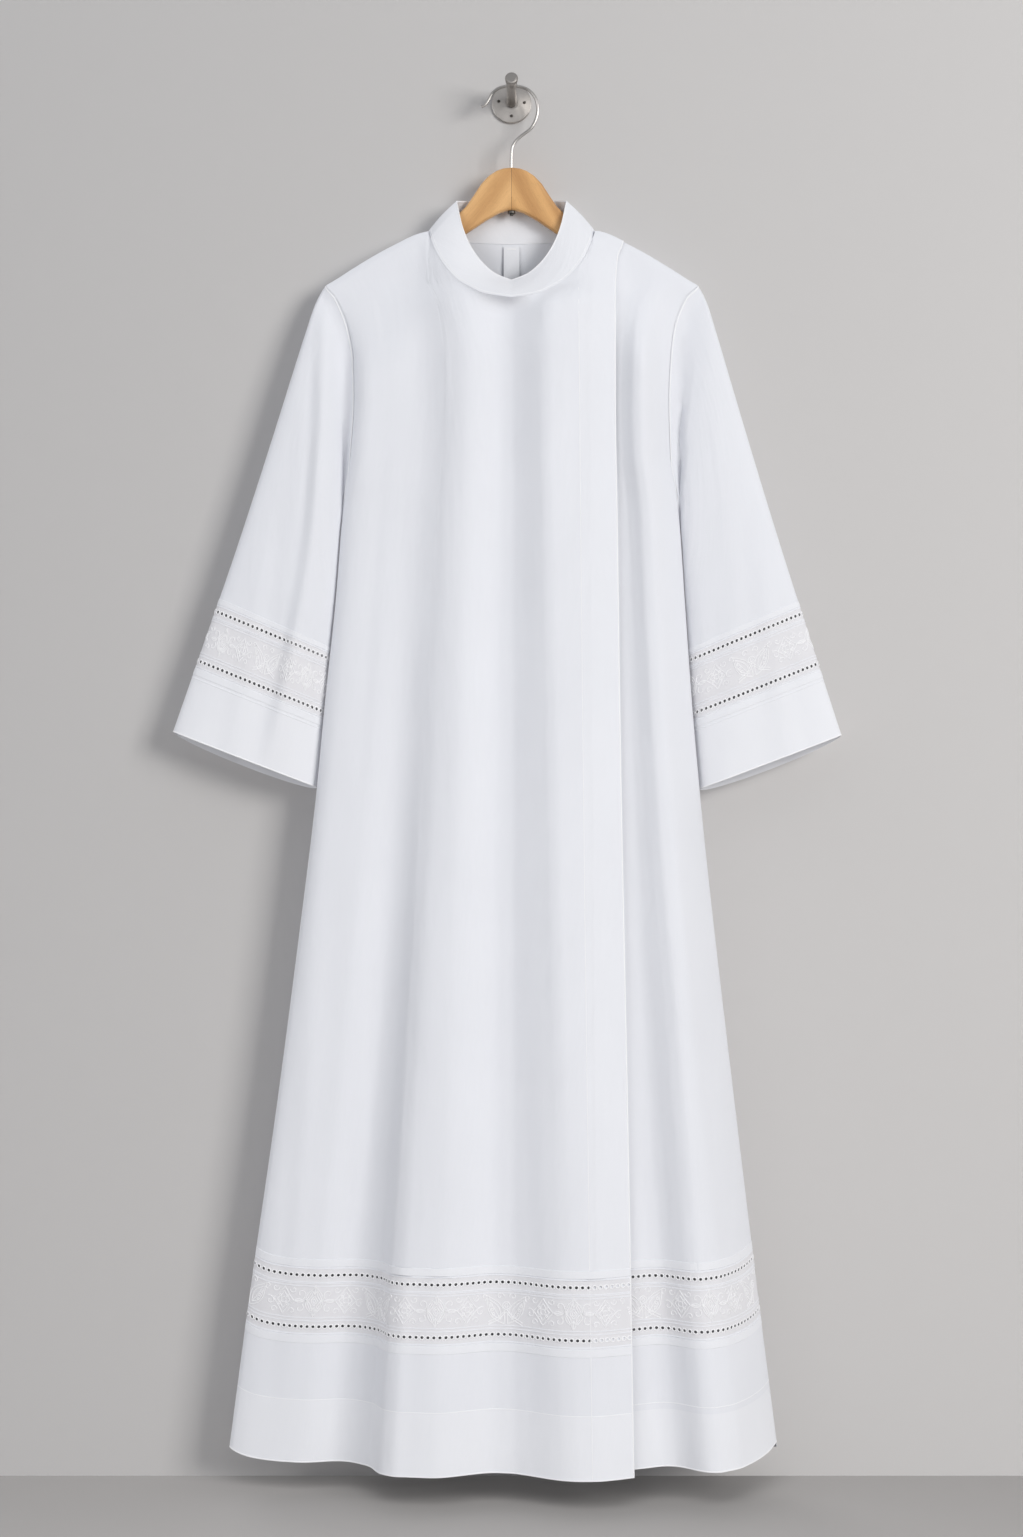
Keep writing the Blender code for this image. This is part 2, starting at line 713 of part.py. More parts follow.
def smooth_route(points, per_span):
    """Points on a Catmull-Rom curve through a route's own points."""
    ends = [2 * points[0] - points[1]] + list(points) + [2 * points[-1] - points[-2]]
    route = []
    for a, b, c, d in zip(ends, ends[1:], ends[2:], ends[3:]):
        for k in range(per_span):
            t = k / per_span
            route.append(0.5 * (2 * b + (c - a) * t + (2 * a - 5 * b + 4 * c - d) * t * t
                                + (3 * b - a - 3 * c + d) * t ** 3))
    return route + [points[-1]]


def build_wire(material):
    """The hanger's hook: steel wire bent in one plane, its stem down through the wood."""
    points = [Vector((x, -RIDGE_DEPTH, z)) * MM for x, z in WIRE_ROUTE]
    line = bpy.data.curves.new("hanger_hook", "CURVE")
    line.dimensions = "3D"
    line.bevel_depth = WIRE_RADIUS * MM
    line.bevel_resolution = 2
    line.use_fill_caps = True
    spline = line.splines.new("POLY")
    route = smooth_route(points, 3)
    spline.points.add(len(route) - 1)
    for place, point in zip(spline.points, route):
        place.co = (*point, 1)
    spline.use_smooth = True
    line.materials.append(material)
    bpy.context.collection.objects.link(bpy.data.objects.new("hanger_hook", line))


def build_wall_hook(materials):
    """Round plate, the peg that rises from it, and three screws; turned about their axes."""
    outward = Matrix.Rotation(math.radians(90), 4, "X")
    plate = turned("wall_plate", ROSE_PROFILE, materials["steel"], 40)
    plate.matrix_world = outward
    peg = turned("wall_peg", PEG_PROFILE, materials["steel"], 24)
    seat = ROSE_HUB + SEAM_GAP + PEG_RADIUS * math.sin(math.radians(PEG_RISE))
    peg.matrix_world = (Matrix.Translation((0, -seat * MM, 0))
                        @ Matrix.Rotation(math.radians(90 - PEG_RISE), 4, "X"))
    for number, degrees in enumerate(SCREW_ANGLES, start=1):
        angle = math.radians(degrees)
        screw = turned(f"screw_{number}", SCREW_PROFILE, materials["screw"], 12)
        spot = (SCREW_RING * math.cos(angle), -SCREW_SEAT, SCREW_RING * math.sin(angle))
        screw.matrix_world = Matrix.Translation(Vector(spot) * MM) @ outward


def build_nut(material):
    """Round nut on the stem's foot, under the wood."""
    top = WOOD_OUTLINE[-1][1] - SEAM_GAP
    hole = WIRE_RADIUS + STEM_CLEARANCE
    nut = turned("hook_nut", (
        (hole, 0), (NUT_RADIUS, 0), (NUT_RADIUS, NUT_HEIGHT), (hole, NUT_HEIGHT), (hole, 0)),
        material, 20)
    work = bmesh.new()
    work.from_mesh(nut.data)
    bmesh.ops.remove_doubles(work, verts=work.verts, dist=0.01 * MM)
    bmesh.ops.recalc_face_normals(work, faces=work.faces)
    work.to_mesh(nut.data)
    work.free()
    nut.location = (0, -RIDGE_DEPTH * MM, (top - NUT_HEIGHT) * MM)


def make_material(name, colour, roughness, metallic=0.0):
    """A plain material for one kind of surface."""
    material = bpy.data.materials.new(name)
    material.use_nodes = True
    shader = material.node_tree.nodes["Principled BSDF"]
    shader.inputs["Base Color"].default_value = (*colour, 1)
    shader.inputs["Roughness"].default_value = roughness
    shader.inputs["Metallic"].default_value = metallic
    material.diffuse_color = (*colour, 1)
    return material


def main():
    """Removes what the scene holds and builds every piece."""
    for obj in list(bpy.data.objects):
        bpy.data.objects.remove(obj)
    cloth = make_material("white_poplin", (0.82, 0.83, 0.86), 0.85)
    lace = make_material("white_lace", (0.76, 0.77, 0.8), 0.9)
    steel = make_material("brushed_steel", (0.5, 0.48, 0.46), 0.35, 1.0)
    wire = make_material("polished_steel", (0.62, 0.6, 0.58), 0.18, 1.0)
    dark = make_material("dark_steel", (0.16, 0.15, 0.14), 0.4, 1.0)
    beech = make_material("lacquered_beech", (0.62, 0.4, 0.22), 0.4)
    sewn = {"main": cloth, "lace": lace, "hem": cloth, "upper": cloth, "cuff": cloth}
    body = build_body(sewn)
    build_collar(body, cloth)
    build_sleeve("sleeve_right", -1, body, sewn)
    build_sleeve("sleeve_left", 1, body, sewn)
    build_tape(cloth)
    build_stem_cutter()
    build_wood(-1, beech)
    build_wood(1, beech)
    build_wire(wire)
    build_nut(dark)
    build_wall_hook({"steel": steel, "screw": dark})


main()
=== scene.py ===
# %% [markdown]
# # A white alb on a wooden hanger
# An alb is a long white vestment. This one closes at the side, has a stand collar, wide
# sleeves and two bands of openwork with embroidery. It hangs by a wooden hanger from a round
# steel wall hook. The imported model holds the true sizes, so it is loaded first as a fixed
# frame, and everything made here is fitted to it.

# %% Load the frame
import math

import bpy
import numpy as np
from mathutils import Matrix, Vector


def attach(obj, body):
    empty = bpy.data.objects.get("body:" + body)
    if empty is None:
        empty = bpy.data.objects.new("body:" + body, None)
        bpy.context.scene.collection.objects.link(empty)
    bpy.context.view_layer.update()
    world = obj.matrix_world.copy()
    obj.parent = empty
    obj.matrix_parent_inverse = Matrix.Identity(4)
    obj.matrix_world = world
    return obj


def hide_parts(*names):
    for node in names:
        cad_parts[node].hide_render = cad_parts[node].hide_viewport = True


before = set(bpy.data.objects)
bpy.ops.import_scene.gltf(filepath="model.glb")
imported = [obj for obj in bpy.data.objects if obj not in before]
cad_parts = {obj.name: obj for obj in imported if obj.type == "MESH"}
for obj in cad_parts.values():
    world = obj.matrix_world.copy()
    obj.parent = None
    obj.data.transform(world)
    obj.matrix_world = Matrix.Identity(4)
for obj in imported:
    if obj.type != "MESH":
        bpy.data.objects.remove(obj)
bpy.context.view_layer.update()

MM = 0.001

# %% [markdown]
# ## The view
# The picture was taken level, from about 2.8 m, with a lens near 55 mm on a full frame. The
# same lens and place are used, because a closer camera would show more of the sleeves' sides.

# %% Camera
CAMERA_LENS = 55
CAMERA_BACK = 2.795
CAMERA_HEIGHT = -0.791
FULL_FRAME = 36

camera = bpy.data.objects.new("photo_camera", bpy.data.cameras.new("photo_camera"))
camera.data.lens = CAMERA_LENS
camera.data.sensor_width = FULL_FRAME
camera.location = (0, -CAMERA_BACK, CAMERA_HEIGHT)
camera.rotation_euler = (math.radians(90), 0, 0)
bpy.context.scene.collection.objects.link(camera)
bpy.context.scene.camera = camera
print("camera", camera.data.lens, "mm,", CAMERA_BACK, "m from the wall")

# %% [markdown]
# ## Sizes of the garment
# A tailor works from a few measures: how wide the side seams stand at each height, how the
# shoulder slopes, and how far each fold swings forward. The same measures as in the CAD model
# are repeated here in millimetres, so that the fine cloth lies exactly where the solid does.

# %% Measures
HEM_HEIGHT = -1592.0
HEM_RISE_AT_SIDES = 11.0
UNDER_HEM_RISE = 7.0
LACE_TOP = 222.0
LACE_FOOT = 149.0
HEM_FOLD = 72.0
CHEST_HEIGHT = -470.0
SWELL_GROWTH = 1.1
BLEND_DROP = 140.0
NECK_BLEND = 100.0
UNDERARM = -490.0
RIDGE_DEPTH = 29.0
NECK_HALF = 98.0
TIP_HALF = 218.5
OVERLAP_STEP = 2.1
SHOULDER_LIFT = 0.55
STEP_FROM = 68.0
STEP_TO = 106.0
GROWTH_EASE = 0.13
RIDGE_DROPS = (0, 2, 9, 40)
RIDGE_TURN = (0, 7, 9.8, 11)
BESIDE_NECK_POINT = 95.5
NECK_POINT = -158.0


def columns(names, *rows):
    """A table of measures, as one array for each named column. The first column rises."""
    return dict(zip(names.split(), np.array(rows, float).T))


SIDE = columns(
    "height right left front back",
    (-1592, 330, 311, 60, 60),
    (-1410, 306, 288, 58, 58),
    (-1178, 273, 260, 55, 55),
    (-945, 243, 233, 52, 52),
    (-828, 229, 221, 50, 50),
    (-711, 218, 211, 47, 47),
    (-594, 206, 203, 44, 44),
    (-490, 198, 196, 41, 41),
    (-456, 193, 191, 45, 24),
    (-429, 189, 186, 46, 18),
    (-354, 184, 184, 46, 15),
    (-311, 185, 186, 44, 16),
    (-276, 191, 190, 41, 18),
    (-238, 206, 204, 36, 23),
    (-222, 218, 219, 29, 29),
    (-150, 218, 219, 29, 29),
)
FRONT_LEVEL = columns(
    "height depth",
    (-1592, 60),
    (-1178, 55),
    (-828, 50),
    (-594, 46.5),
    (-429, 45.5),
    (-311, 44),
    (-276, 41),
    (-238, 36),
    (-222, 29),
    (-150, 29),
)
SHOULDER = columns(
    "out height",
    (98, -158),
    (110, -161),
    (136, -173),
    (163, -187.5),
    (190, -204),
    (207, -215),
    (219, -222),
)
FRONT_NECK = columns(
    "out height depth",
    (0, -246, 80),
    (33, -240.5, 76),
    (57, -227, 68),
    (74, -210, 60),
    (86, -191, 51),
    (95.5, -168, 40.5),
    (98, -158, 29),
)
BACK_NECK = columns(
    "out height depth",
    (0, -171, 15),
    (45, -169.5, 15.5),
    (80, -165, 17),
    (95.5, -160, 20),
    (98, -158, 29),
)
UPPER_FRONT_FOLDS = columns(
    "share chest hem",
    (-1, 44, 30),
    (-0.94, 42, 35),
    (-0.9, 38, 36),
    (-0.85, 32.5, 38),
    (-0.75, 26, 39),
    (-0.6, 21.5, 25),
    (-0.5, 24, 45),
    (-0.45, 28, 78),
    (-0.39, 32.5, 88),
    (-0.28, 36, 88),
    (-0.06, 26.5, 65),
    (0, 28, 67.5),
    (0.05, 32, 75),
    (0.1, 37, 83.5),
    (0.15, 42.5, 92),
    (0.2, 47.5, 98.5),
    (0.25, 49.5, 101),
    (0.31, 49, 101),
    (0.38, 47, 97.5),
    (0.45, 44, 91),
    (0.5, 41.2, 86.5),
    (0.58, 37, 83),
    (0.62, 35.2, 82),
    (0.66, 34, 81),
    (0.72, 33.5, 80),
)
UNDER_FRONT_FOLDS = columns(
    "share chest hem",
    (0, 25, 55),
    (0.26, 31, 80),
    (0.38, 33, 86),
    (0.44, 34, 85.5),
    (0.5, 34.8, 81.5),
    (0.56, 33, 77),
    (0.6, 30.5, 81),
    (0.64, 29, 93),
    (0.68, 31.5, 111),
    (0.72, 40, 127),
    (0.77, 56, 137),
    (0.83, 66, 136),
    (0.88, 60.5, 124),
    (0.93, 50, 108),
    (0.96, 42, 94),
    (1, 36, 60),
)
BACK_FOLDS = columns(
    "share chest hem",
    (-1, 12, 14),
    (-0.72, 9, 9),
    (-0.45, 11, 21),
    (-0.15, 9, 8),
    (0.15, 11, 22),
    (0.48, 9, 9),
    (0.75, 11, 20),
    (1, 12, 14),
)
FRONT_EDGES = columns(
    "height free hidden",
    (-1592, 139, 40),
    (-1169, 133, 40),
    (-791, 126.5, 40),
    (-502, 123, 44),
    (-362, 121, 62),
    (-300, 121, 84),
    (-245, 121.5, 103),
    (-192, 125, 111),
    (-172, 132, 112),
    (-150, 133, 112),
)
print("side seams from", *SIDE["height"][[0, -1]], "mm")

# %% [markdown]
# A measure between two rows of a table is read from a smooth curve. Cubic pieces with
# harmonic slopes never swing past the table's own values, which a plain spline would do.

# %% Reading a table


def curve(table, wanted, where):
    """Smooth values of one column at places along the first, with no overshoot."""
    xs, ys = next(iter(table.values())), table[wanted]
    step = np.diff(xs)
    slope = np.diff(ys) / step
    tangent = np.zeros(len(xs))
    same = slope[:-1] * slope[1:] > 0
    mean = 2 * slope[:-1] * slope[1:] / np.where(same, slope[:-1] + slope[1:], 1)
    tangent[1:-1] = np.where(same, mean, 0)
    tangent[0] = slope[0]
    tangent[-1] = slope[-1]
    where = np.clip(where, xs[0], xs[-1])
    spot = np.clip(np.searchsorted(xs, where) - 1, 0, len(step) - 1)
    t = (where - xs[spot]) / step[spot]
    rise = ys[spot] * (1 + 2 * t) * (1 - t) ** 2 + ys[spot + 1] * t * t * (3 - 2 * t)
    lean = tangent[spot] * t * (1 - t) ** 2 - tangent[spot + 1] * t * t * (1 - t)
    return rise + step[spot] * lean


def soft_step(value):
    """0 to 1 with soft ends."""
    value = np.clip(value, 0, 1)
    return value * value * (3 - 2 * value)


def unit(vectors):
    """The same directions, one long."""
    return vectors / np.maximum(np.linalg.norm(vectors, axis=-1, keepdims=True), 1e-9)


print("half width at the chest", curve(SIDE, "right", CHEST_HEIGHT).round(1))

# %% [markdown]
# ## Creases
# Pressed cotton hangs in a few long soft folds with small uneven creases between them. A
# simulation would place them by chance, so each one is listed: where it starts and
# ends, how wide it is, and how far it stands out (plus) or sinks in (minus).

# %% Creases of the front and the back
PRESSED = 0.5
WANDER, WANDER_TURNS = 0.3, 5
SOFT_START, SOFT_END = 0.3, 0.35

# Each row: x at the top, x at the foot, top, foot, width, rise.
FRONT_CREASES = (
    (-150, -176, -300, -900, 10, -2.2),
    (-112, -140, -260, -760, 16, 1.8),
    (-84, -96, -330, -1010, 13, -2.6),
    (-60, -52, -300, -900, 18, 1.6),
    (-30, -18, -420, -1250, 14, -1.8),
    (18, 34, -300, -1000, 20, 1.5),
    (34, 52, -480, -1500, 13, -2.4),
    (74, 84, -280, -900, 16, 1.4),
    (104, 110, -380, -1500, 11, -1.6),
    (150, 186, -330, -1150, 13, -2.4),
    (170, 216, -420, -1400, 12, 2.0),
    (-196, -226, -620, -1300, 14, -2.4),
    (-226, -258, -800, -1590, 11, 2.4),
    (-246, -290, -980, -1700, 13, -2.8),
    (-170, -196, -1050, -1700, 12, 2.6),
    (-100, -118, -1020, -1700, 13, -2.6),
    (-40, -52, -1100, -1700, 15, 2.2),
    (12, 22, -1040, -1700, 13, -2.0),
    (84, 92, -1080, -1700, 16, 2.0),
    (214, 240, -1000, -1700, 12, -2.8),
    (246, 276, -1150, -1700, 12, 2.4),
)
BACK_CREASES = (
    (-160, -210, -330, -1100, 15, 2.4),
    (-110, -130, -300, -1350, 13, -2.6),
    (-48, -40, -380, -1200, 18, 2.2),
    (14, 30, -320, -1450, 14, -2.6),
    (80, 112, -340, -1000, 16, 2.4),
    (146, 190, -420, -1300, 13, -2.4),
    (-240, -282, -900, -1700, 14, -2.6),
    (-150, -178, -1000, -1700, 15, 2.6),
    (-64, -70, -1100, -1700, 13, -2.4),
    (62, 72, -1050, -1700, 16, 2.2),
    (206, 246, -950, -1700, 14, 2.6),
)
# Each row: turns along x, turns along z, phase, rise.
UNEVEN = ((0.021, 0.0062, 0.3, 0.55), (0.048, -0.0091, 1.7, 0.35), (0.083, 0.013, 4.1, 0.2))


def creases(table, x, height):
    """How far the listed creases move the cloth out, at a place on it."""
    total = np.zeros(np.broadcast(x, height).shape)
    for x_top, x_foot, top, foot, width, rise in table:
        fall = np.clip((top - height) / (top - foot), 0, 1)
        middle = x_top + (x_foot - x_top) * fall
        middle += WANDER * width * np.sin(WANDER_TURNS * fall + x_top)
        window = soft_step(fall / SOFT_START) * soft_step((1 - fall) / SOFT_END)
        total += rise * window * np.exp(-((x - middle) / width) ** 2)
    for per_x, per_z, phase, rise in UNEVEN:
        total += rise * np.sin(per_x * x + per_z * height + phase)
    return total * PRESSED


print(len(FRONT_CREASES), "front creases,", len(BACK_CREASES), "back creases")

# %% [markdown]
# ## The surface of a panel
# A panel is a sheet of points: columns run from the shoulder to the hem, rows go round. Each
# column turns over the hanger's arm, blends into the panel's folded section and carries the
# creases. Working out the points from the measures keeps the panel on its solid.

# %% Sections and columns
EDGE_POWER = 4
HEM_POWER = 16
CREASE_POWER = 0.7
NECK_BLEND_RUN = 80
CREASES_FROM, CREASES_RUN = 20, 90
LIFT_LEAD, LIFT_RUN = 2, 8


def half_width(share, height):
    """Distance from the middle to the side seam that a share lies towards."""
    return np.where(share < 0, curve(SIDE, "right", height), curve(SIDE, "left", height))


def roundness(share):
    """1 in the middle of the garment, 0 at its side seams."""
    return np.sqrt(np.maximum(0.0, 1 - share * share))


def fold(table, share, height):
    """How far a fold stands out, growing from the chest to the hem."""
    fall = np.minimum((CHEST_HEIGHT - height) / (CHEST_HEIGHT - HEM_HEIGHT), 1)
    fall = (np.sqrt(fall * fall + GROWTH_EASE ** 2) + fall) / 2
    chest, hem = curve(table, "chest", share), curve(table, "hem", share)
    return chest + (hem - chest) * fall ** SWELL_GROWTH


def front_section(folds):
    """Depth of a front in front of the wall, as a function of share and height."""
    def section(share, height):
        edge = curve(SIDE, "front", height)
        level = curve(FRONT_LEVEL, "depth", height)
        edge = level + (edge - level) * abs(share) ** EDGE_POWER
        return edge + roundness(share) * fold(folds, share, height)
    return section


def back_section(share, height):
    """Depth of the back in front of the wall."""
    edge = np.where(height > UNDERARM, curve(SIDE, "back", height),
                    curve(SIDE, "front", height))
    return edge - roundness(share) * (edge - fold(BACK_FOLDS, share, height))


def seam_top(neck, out):
    """Height and depth of the neck or shoulder seam at a distance from the middle."""
    at_neck = out < NECK_HALF
    height = np.where(at_neck, curve(neck, "height", out), curve(SHOULDER, "height", out))
    return height, np.where(at_neck, curve(neck, "depth", out), RIDGE_DEPTH)


def hem_of(share, rise):
    """Height of the hem, a little higher at the side seams."""
    return HEM_HEIGHT + rise + HEM_RISE_AT_SIDES * abs(share) ** HEM_POWER


def panel_surface(panel, top_share, share, height):
    """Outer points of a panel, columns across and rows down."""
    top_out = abs(top_share) * TIP_HALF
    top, seam_depth = seam_top(panel["neck"], top_out)
    drop = top - height
    beside = curve(panel["neck"], "depth", BESIDE_NECK_POINT)
    over_arm = 1 - abs(seam_depth - RIDGE_DEPTH) / abs(beside - RIDGE_DEPTH)
    turn = np.maximum(over_arm, 0) * np.interp(drop, RIDGE_DROPS, RIDGE_TURN)
    start = seam_depth + panel["facing"] * turn
    below = np.where(top_out < NECK_HALF, NECK_POINT - top, 0.0)
    shoulder = soft_step((top_out - NECK_HALF) / NECK_BLEND_RUN)
    reach = (NECK_BLEND + (BLEND_DROP - NECK_BLEND) * shoulder) * panel["reach"]
    spent = soft_step(below / reach)
    blend = (soft_step((drop + below) / reach) - spent) / (1 - spent)
    x = share * half_width(share, height)
    away = creases(panel["creases"], x, height) * roundness(share) ** CREASE_POWER
    depth = start + (panel["section"](share, height) - start) * blend
    depth += panel["facing"] * away * soft_step((drop - CREASES_FROM) / CREASES_RUN)
    top_x = top_share * TIP_HALF
    raised = panel["lift"] * soft_step((top_x - STEP_FROM) / (STEP_TO - STEP_FROM))
    forward = raised * np.clip(drop / RIDGE_DROPS[1], 0, 1)
    raised = panel["lift"] * soft_step((top_x - NECK_HALF + LIFT_LEAD) / LIFT_RUN)
    upward = SHOULDER_LIFT * raised * np.maximum(1 - drop / RIDGE_DROPS[2], 0.0)
    return np.stack([x, -depth - forward, height + upward], axis=-1)


PANELS = {
    "upper_front": {"neck": FRONT_NECK, "section": front_section(UPPER_FRONT_FOLDS),
                    "facing": 1, "lift": OVERLAP_STEP, "rise": 0.0, "reach": 1.0,
                    "creases": FRONT_CREASES, "ends": ("side", "free")},
    "under_front": {"neck": FRONT_NECK, "section": front_section(UNDER_FRONT_FOLDS),
                    "facing": 1, "lift": 0.0, "rise": UNDER_HEM_RISE, "reach": 0.95,
                    "creases": FRONT_CREASES, "ends": ("hidden", "side")},
    "back": {"neck": BACK_NECK, "section": back_section, "facing": -1, "lift": 0.0,
             "rise": 0.0, "reach": 1.0, "creases": BACK_CREASES, "ends": ("side", "side")},
}


def end_share(panel, which, height):
    """Share at which a panel's row starts (which 0) or ends (which 1)."""
    kind = panel["ends"][which]
    if kind == "side":
        return np.full(np.shape(height), -1.0 if which == 0 else 1.0)
    return curve(FRONT_EDGES, kind, height) / curve(SIDE, "left", height)


def share_at(panel, places, start_height, end_height=None):
    """Shares of a row at column places 0 to 1, from the heights of the row's two ends."""
    start = end_share(panel, 0, start_height)
    end = end_share(panel, 1, start_height if end_height is None else end_height)
    return start + (end - start) * places


TOP_OF_EDGES = -171.0
EVENED_OVER = (-12, -8, -4, 0, 4, 8, 12)
EVENED_WIDTH = 30.0
EVENED_FROM, EVENED_RUN = 3, 25
FINE_PLACES = 1201


def panel_point_grid(panel, places, above_hem=None, heights=None):
    """Points of a panel at column places 0 to 1, for rows at heights above the hem, or
    for rows that start at the shoulder."""
    top_share = share_at(panel, places, TOP_OF_EDGES)
    hem = hem_of(share_at(panel, places, HEM_HEIGHT), panel["rise"])
    if above_hem is not None:
        height = hem + np.asarray(above_hem, float)[:, None]
    else:
        top, _ = seam_top(panel["neck"], abs(top_share) * TIP_HALF)
        height = heights(top, hem)
    share = share_at(panel, places, height[:, [0]], height[:, [-1]])
    grid = panel_surface(panel, top_share, share, height)
    if above_hem is None:
        beside = [panel_surface(panel, top_share + step / TIP_HALF, share + step / TIP_HALF,
                                height)[..., 1] for step in EVENED_OVER]
        amount = np.exp(-((abs(grid[..., 0]) - NECK_HALF) / EVENED_WIDTH) ** 2)
        amount *= soft_step((grid[:1, :, 2] - grid[..., 2] - EVENED_FROM) / EVENED_RUN)
        grid[..., 1] += amount * (np.mean(beside, axis=0) - grid[..., 1])
    return grid


def line_run(points):
    """Distance along a line at each of its points."""
    return np.concatenate([[0], np.cumsum(np.linalg.norm(np.diff(points, axis=0), axis=1))])


def even_places(panel, above_hem, spacing):
    """Column places, evenly spaced round the row at a height above the hem."""
    fine = np.linspace(0, 1, FINE_PLACES)
    run = line_run(panel_point_grid(panel, fine, [above_hem])[0])
    count = int(round(run[-1] / spacing))
    return np.interp(np.linspace(0, run[-1], count + 1), run, fine), run[-1]


for panel_name, panel in PANELS.items():
    print(panel_name, "is", round(float(even_places(panel, 0, 5)[1])), "mm round the hem")

# %% [markdown]
# ## From points to cloth
# Thin cloth could be a flat mesh with a Solidify modifier. Here both walls are made at once
# from the points and their normals, because the edges then close exactly where a seam lies.
# Each face also gets its place on the flat cloth in metres as UVs, so the weave runs along
# the threads and not along the world's axes.

# %% Making a sheet
CLOTH = 0.8
SMOOTH_ANGLE = math.radians(50)


def tangents(grid, axis, closed):
    """Direction along rows or columns at each point, midway between its two neighbours'."""
    grid = np.moveaxis(grid, axis, 0)
    if closed:
        steps = unit(np.roll(grid, -1, axis=0) - grid)
        along = steps + np.roll(steps, 1, axis=0)
    else:
        steps = unit(np.diff(grid, axis=0))
        along = np.concatenate([steps[:1], steps[1:] + steps[:-1], steps[-1:]])
    return np.moveaxis(along, 0, axis)


def surface_normals(grid, facing=1, closed=False):
    """Unit normals of a grid of points, rows down and columns across."""
    return facing * unit(np.cross(tangents(grid, 0, False), tangents(grid, 1, closed)))


def run_along(grid, axis):
    """Distance along rows or columns at each point, in millimetres."""
    steps = np.linalg.norm(np.diff(grid, axis=axis), axis=-1)
    pad = [(0, 0), (0, 0)]
    pad[axis] = (1, 0)
    return np.pad(np.cumsum(steps, axis=axis), pad)


def new_piece(name, points, faces):
    """A mesh object from points in millimetres."""
    mesh = bpy.data.meshes.new(name)
    mesh.from_pydata((np.asarray(points) * MM).tolist(), [], faces)
    mesh.validate()
    mesh.shade_smooth()
    mesh.set_sharp_from_angle(angle=SMOOTH_ANGLE)
    piece = bpy.data.objects.new(name, mesh)
    bpy.context.scene.collection.objects.link(piece)
    return piece


def grid_faces(rows, cols, closed, start=0, flip=False, skip=()):
    """Quads of a grid of points, row by row, leaving out the rows in skip."""
    kept = [row for row in range(rows - 1) if row not in skip]
    r, c = np.meshgrid(kept, np.arange(cols if closed else cols - 1), indexing="ij")
    a = (r * cols + c).ravel() + start
    b = (r * cols + (c + 1) % cols).ravel() + start
    quads = np.stack([a, a + cols, b + cols, b], axis=1)
    return quads[:, ::-1] if flip else quads


def set_flat_places(piece, places):
    """Stores each point's place on the flat cloth, in metres, as UVs."""
    layer = piece.data.uv_layers.new(name="cloth")
    corners = np.zeros(len(piece.data.loops), np.int32)
    piece.data.loops.foreach_get("vertex_index", corners)
    layer.data.foreach_set("uv", (places[corners] * MM).astype(np.float32).ravel())


def shell_parts(outer, normals, closed=False, flip=False, wall=CLOTH, skip=()):
    """Points, faces and flat places of a thin closed shell: outer points, the same points
    moved inward, and the edges between them."""
    rows, cols, _ = outer.shape
    count = rows * cols
    across = np.arange(cols if closed else cols - 1)
    down = np.arange(rows - 1) * cols
    faces = [grid_faces(rows, cols, closed, 0, flip, skip),
             grid_faces(rows, cols, closed, count, not flip, skip)]
    edges = [(across, (across + 1) % cols, flip),
             (across + count - cols, (across + 1) % cols + count - cols, not flip)]
    if not closed:
        edges += [(down, down + cols, not flip),
                  (down + cols - 1, down + 2 * cols - 1, flip)]
    for a, b, turned in edges:
        rim = np.stack([a, b, b + count, a + count], axis=1)
        faces.append(rim[:, ::-1] if turned else rim)
    points = np.concatenate([outer.reshape(-1, 3), (outer - normals * wall).reshape(-1, 3)])
    places = np.stack([run_along(outer, 1), run_along(outer, 0)], axis=-1).reshape(-1, 2)
    return points, [tuple(f) for part in faces for f in part.tolist()], np.tile(places, (2, 1))


def join_parts(name, parts):
    """One mesh object from the points, faces and flat places of several parts."""
    points, faces, places, start = [], [], [], 0
    for part_points, part_faces, part_places in parts:
        points.append(part_points)
        places.append(part_places)
        faces += [tuple(i + start for i in face) for face in part_faces]
        start += len(part_points)
    piece = new_piece(name, np.concatenate(points), faces)
    set_flat_places(piece, np.concatenate(places))
    return piece


def looped(grid, closed):
    """A grid, with its first column again at the end if it goes all round."""
    return np.concatenate([grid, grid[:, :1]], axis=1) if closed else grid


def cloth_area(grid, closed=False):
    """Area of one face of a sheet, in square metres."""
    points = looped(grid, closed)
    across, down = np.diff(points, axis=1)[:-1], np.diff(points, axis=0)[:, :-1]
    return float(np.linalg.norm(np.cross(across, down), axis=-1).sum() * MM * MM)


print("cloth is", CLOTH, "mm thick")

# %% [markdown]
# ## Fronts and back
# Each panel is cut in three: the long main cloth, the openwork band, and the band below it
# with its deep hem. The rows lie closer together over the shoulder, where the cloth bends
# most, and near the openwork, where small tucks follow.

# %% Main cloth and hem bands
COLUMN_SPACING = 4.6
SHOULDER_ROWS = (0, 1, 2, 3.5, 5.5, 9, 14, 20, 28, 38, 50, 64, 80)
ROW_SPACING = 8.5
COLUMNS_EVEN_AT = 60
BAND_ROWS = (12, 11)
SEAM_CLEAR = 0.15
NEAR = 0.5
BODY_PARTS = {"main": "cloth", "band": "hem_band"}
body = {}


def main_heights(top, hem):
    """Rows of the main cloth: over the shoulder, then evenly down to the openwork."""
    start = top - SHOULDER_ROWS[-1]
    foot = hem + LACE_TOP
    count = int(round((float(start.max()) - float(foot.min())) / ROW_SPACING))
    even = start + (foot - start) * np.linspace(0, 1, count + 1)[1:, None]
    return np.concatenate([top - np.array(SHOULDER_ROWS, float)[:, None], even])


